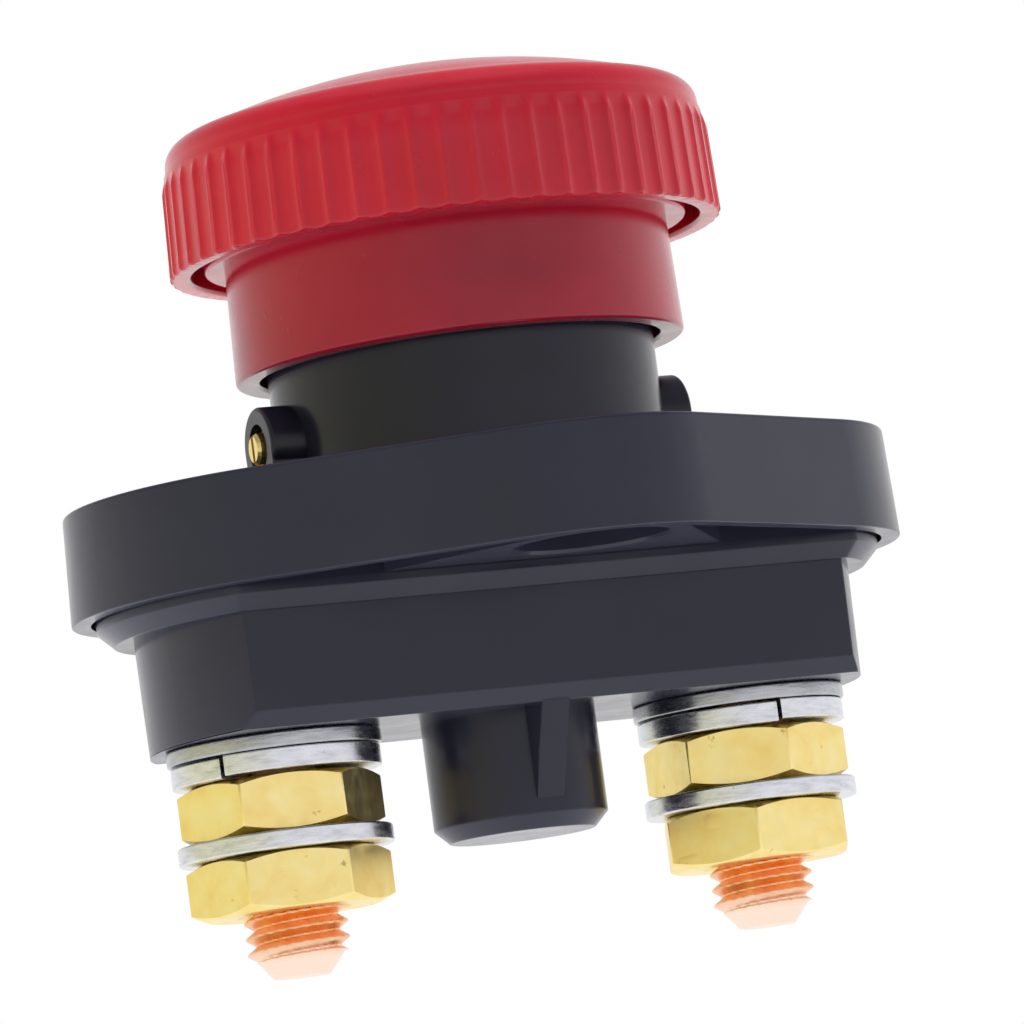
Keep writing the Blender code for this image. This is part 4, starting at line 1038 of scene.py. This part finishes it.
def washer(name, material):
    """A flat washer, punched, with rounded edges."""
    bottom, top = height_span(name)
    low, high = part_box(name)
    outer = (high[1] - low[1]) / 2
    profile = rounded_ring(outer, NUT_BORE + NUT_BORE_CHAMFER, bottom, top + SEATING, WASHER_EDGE)
    piece = new_object(name, lathe(name, profile, ROUND_STEPS, closed=True))
    piece.location.x = middle_x(name)
    return finished(baked(piece, name), name, "housing", material)


def lock_washer(side_name, material):
    """A split spring washer whose two ends stand a little out of line."""
    name = "lock_washer_" + side_name
    bottom, top = height_span(name)
    low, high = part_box(name)
    outer = (high[1] - low[1]) / 2
    section = rounded_ring(outer, NUT_BORE + NUT_BORE_CHAMFER, bottom + LOCK_WASHER_RISE,
                           top + SEATING, LOCK_WASHER_EDGE)
    sweep = math.radians(360.0 - LOCK_WASHER_OPENING)
    start = math.radians(LOCK_WASHER_TURNS[side_name] + LOCK_WASHER_OPENING / 2)
    rings = []
    for i in range(ROUND_STEPS + 1):
        share = i / ROUND_STEPS
        angle = start + sweep * share
        drop = LOCK_WASHER_RISE * share
        rings.append([(r * math.cos(angle), r * math.sin(angle), z - drop) for r, z in section])
    piece = new_object(name, rings_mesh(name, rings))
    piece.location.x = middle_x("stud_" + side_name)
    return finished(baked(piece, name), name, "housing", material)


def over_travel_spring(material):
    """The coil between the bridge and the plunger's shoulder, drawn at one length and carried with
    the plunger.
    """
    node = "contact_spring"
    bottom, top = height_span(node)
    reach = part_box(node)[1][0] - SPRING_WIRE
    count = SPRING_TURNS * SPRING_POINTS
    rings = []
    for i in range(count + 1):
        angle = 2 * math.pi * i / SPRING_POINTS
        height = bottom + SPRING_WIRE + (top - bottom - 2 * SPRING_WIRE) * i / count
        section = arc(reach, height, SPRING_WIRE, 0.0, 2 * math.pi, WIRE_STEPS)[:-1]
        rings.append([(r * math.cos(angle), r * math.sin(angle), z) for r, z in section])
    piece = finished(new_object(node + "_fine", rings_mesh(node, rings)), node, "plunger", material)
    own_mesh(piece)


def area_light(name, place, target, size, power, colour):
    light = bpy.data.lights.new(name, 'AREA')
    light.shape = 'RECTANGLE'
    light.size, light.size_y = size
    light.energy = power
    light.color = colour
    item = bpy.data.objects.new(name, light)
    bpy.context.scene.collection.objects.link(item)
    item.location = place
    item.rotation_euler = (Vector(target) - Vector(place)).to_track_quat('-Z', 'Y').to_euler()
    return item


def studio_world():
    """White to the camera. Gloss sees it darker above and warmer at the left.

    Its light comes mostly from above.
    """
    world = bpy.data.worlds.new("studio")
    bpy.context.scene.world = world
    world.use_nodes = True
    tree = world.node_tree
    tree.nodes.clear()

    def add(kind, **values):
        node = tree.nodes.new(kind)
        for key, value in values.items():
            setattr(node, key, value)
        return node

    def tones(source, stops):
        """Colours along one axis of the direction, from (place, colour) stops between -1 and 1."""
        spread = add("ShaderNodeMapRange")
        spread.inputs["From Min"].default_value = -1.0
        tree.links.new(source, spread.inputs["Value"])
        ramp = add("ShaderNodeValToRGB")
        elements = ramp.color_ramp.elements
        while len(elements) < len(stops):
            elements.new(0.5)
        for element, (place, colour) in zip(elements, stops):
            element.position = (place + 1.0) / 2
            element.color = (*colour, 1.0)
        tree.links.new(spread.outputs["Result"], ramp.inputs["Fac"])
        return ramp.outputs["Color"]

    def times(first, second):
        node = add("ShaderNodeMix", data_type='RGBA', blend_type='MULTIPLY')
        node.inputs["Factor"].default_value = 1.0
        colours = [socket for socket in node.inputs if socket.type == 'RGBA']
        tree.links.new(first, colours[0])
        tree.links.new(second, colours[1])
        return next(socket for socket in node.outputs if socket.type == 'RGBA')

    def background(colour, strength):
        node = add("ShaderNodeBackground")
        if isinstance(colour, tuple):
            node.inputs["Color"].default_value = (*colour, 1.0)
        else:
            tree.links.new(colour, node.inputs["Color"])
        node.inputs["Strength"].default_value = strength
        return node.outputs["Background"]

    def mixed(factor, first, second):
        node = add("ShaderNodeMixShader")
        tree.links.new(factor, node.inputs["Fac"])
        tree.links.new(first, node.inputs[1])
        tree.links.new(second, node.inputs[2])
        return node.outputs["Shader"]

    split = add("ShaderNodeSeparateXYZ")
    tree.links.new(add("ShaderNodeTexCoord").outputs["Generated"], split.inputs["Vector"])
    depth = tones(split.outputs["Y"], GLOSS_BY_DEPTH)
    side = tones(split.outputs["X"], GLOSS_BY_SIDE)
    gloss = times(times(depth, side), tones(split.outputs["Z"], GLOSS_BY_HEIGHT))
    path = add("ShaderNodeLightPath")
    seen = add("ShaderNodeMath", operation='MAXIMUM')
    tree.links.new(path.outputs["Is Camera Ray"], seen.inputs[0])
    tree.links.new(path.outputs["Is Transmission Ray"], seen.inputs[1])
    lit = background(tones(split.outputs["Z"], LIGHT_BY_HEIGHT), WORLD_LIGHT)
    lit = mixed(path.outputs["Is Glossy Ray"], lit, background(gloss, 1.0))
    lit = mixed(seen.outputs["Value"], lit, background((1.0, 1.0, 1.0), 1.0))
    tree.links.new(lit, add("ShaderNodeOutputWorld").inputs["Surface"])


def pale_floor():
    """A pale floor that keeps shadows.

    The camera sees it near white, and gloss sees it as bright as the backdrop.
    """
    m = Nodes("pale_floor", roughness=FLOOR_ROUGHNESS)
    m.colour(m.ramp(m.noise(3.0), FLOOR_WHITE))
    glow = m.add("ShaderNodeEmission")
    mix = m.add("ShaderNodeMixShader")
    path = m.add("ShaderNodeLightPath")
    seen = m.add("ShaderNodeMath", operation='MAXIMUM')
    m.link(path.outputs["Is Camera Ray"], seen.inputs[0])
    m.link(path.outputs["Is Transmission Ray"], seen.inputs[1])
    share = m.add("ShaderNodeMath", operation='MULTIPLY_ADD')
    m.link(seen.outputs["Value"], share.inputs[0])
    share.inputs[1].default_value = FLOOR_GLOW
    m.link(path.outputs["Is Glossy Ray"], share.inputs[2])
    m.link(share.outputs["Value"], mix.inputs["Fac"])
    m.link(m.shader.outputs["BSDF"], mix.inputs[1])
    m.link(glow.outputs["Emission"], mix.inputs[2])
    m.link(mix.outputs["Shader"], m.tree.nodes["Material Output"].inputs["Surface"])
    bm = bmesh.new()
    bmesh.ops.create_grid(bm, x_segments=1, y_segments=1, size=FLOOR_HALF_SIZE)
    floor = new_object("floor", to_mesh(bm, "floor"))
    floor.data.materials.append(m.material)
    floor.location.z = FLOOR_HEIGHT


def studio():
    """The floor, the lamps and the world."""
    pale_floor()
    for name, (place, size, power, colour) in LAMPS.items():
        lamp = area_light(name, place, (0.0, 0.0, 0.0), size, power, colour)
        lamp.visible_camera = False
        lamp.visible_glossy = False
    studio_world()


def camera():
    """The picture's camera: it looks up a little at the switch, and is rolled against its axis."""
    azimuth = math.radians(CAMERA_AZIMUTH)
    elevation = math.radians(CAMERA_ELEVATION)
    roll = math.radians(CAMERA_ROLL)
    back = Vector((
        math.sin(azimuth) * math.cos(elevation),
        -math.cos(azimuth) * math.cos(elevation),
        math.sin(elevation),
    ))
    level = Vector((math.cos(azimuth), math.sin(azimuth), 0.0))
    upright = back.cross(level)
    right = level * math.cos(roll) + upright * math.sin(roll)
    up = upright * math.cos(roll) - level * math.sin(roll)
    aim = right * CAMERA_AIM_X + up * CAMERA_AIM_Y + Vector((0.0, 0.0, CAMERA_AIM_HEIGHT))
    data = bpy.data.cameras.new("camera")
    data.sensor_width = SENSOR_WIDTH
    data.lens = PIXELS_PER_METRE * CAMERA_DISTANCE / PICTURE_SIZE * SENSOR_WIDTH
    data.clip_start = CLIP_START
    data.clip_end = CLIP_END
    item = bpy.data.objects.new("camera", data)
    bpy.context.scene.collection.objects.link(item)
    turn = Matrix((right, up, back)).transposed().to_4x4()
    item.matrix_world = Matrix.Translation(aim + back * CAMERA_DISTANCE) @ turn
    bpy.context.scene.camera = item


def dress_inside():
    """Finishes for the pieces that stay as packed, and a finer over-travel spring."""
    steel = plain_metal("ground_steel", *STEEL)
    rubber = soft_rubber("seal_rubber")
    acetal = natural_acetal("acetal")
    brass = turned_brass("plug_brass")
    copper = bare_copper("bridge_copper")
    finishes = {
        "knob_screw": steel,
        "plunger": acetal,
        "contact_bridge": copper,
        "retaining_clip": steel,
        "housing_seal": rubber,
        "shaft_seal": rubber,
    }
    for side in ("left", "right"):
        finishes["detent_ball_" + side] = steel
        finishes["detent_spring_" + side] = steel
        finishes["detent_plug_" + side] = brass
    for node, material in finishes.items():
        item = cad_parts[node]
        item.data.materials.clear()
        item.data.materials.append(material)
    over_travel_spring(steel)


def dress_outside():
    """The knob with its sleeve, and the two black mouldings."""
    black = moulded_black("black_moulding")
    knob_cap(moulded_red("knob_red", *KNOB_RED))
    # The sleeve's darker red holds painted shade from the cap above it.
    knob_sleeve(moulded_red("sleeve_red_and_shade", *SLEEVE_RED_AND_SHADE))
    upper_housing(black)
    lower_housing(black)


def dress_terminals():
    """Each stud with its washers and nuts, from the housing down."""
    brass = turned_brass("nut_brass")
    zinc = bright_zinc("washer_zinc")
    # Darker zinc for the inner washers: partly their duller plate, partly painted shade from the box
    # above them.
    shaded_dull_zinc = bright_zinc("inner_washer_shaded_zinc", INNER_WASHER_SHADE)
    copper = bare_copper("stud_copper")
    for side in ("left", "right"):
        stud(side, copper)
        washer("inner_washer_" + side, shaded_dull_zinc)
        lock_washer(side, zinc)
        nut("inner_nut_" + side, brass)
        washer("outer_washer_" + side, zinc)
        nut("outer_nut_" + side, brass)


camera()
studio()
dress_inside()
dress_outside()
dress_terminals()

bpy.context.scene.view_settings.view_transform = 'Standard'
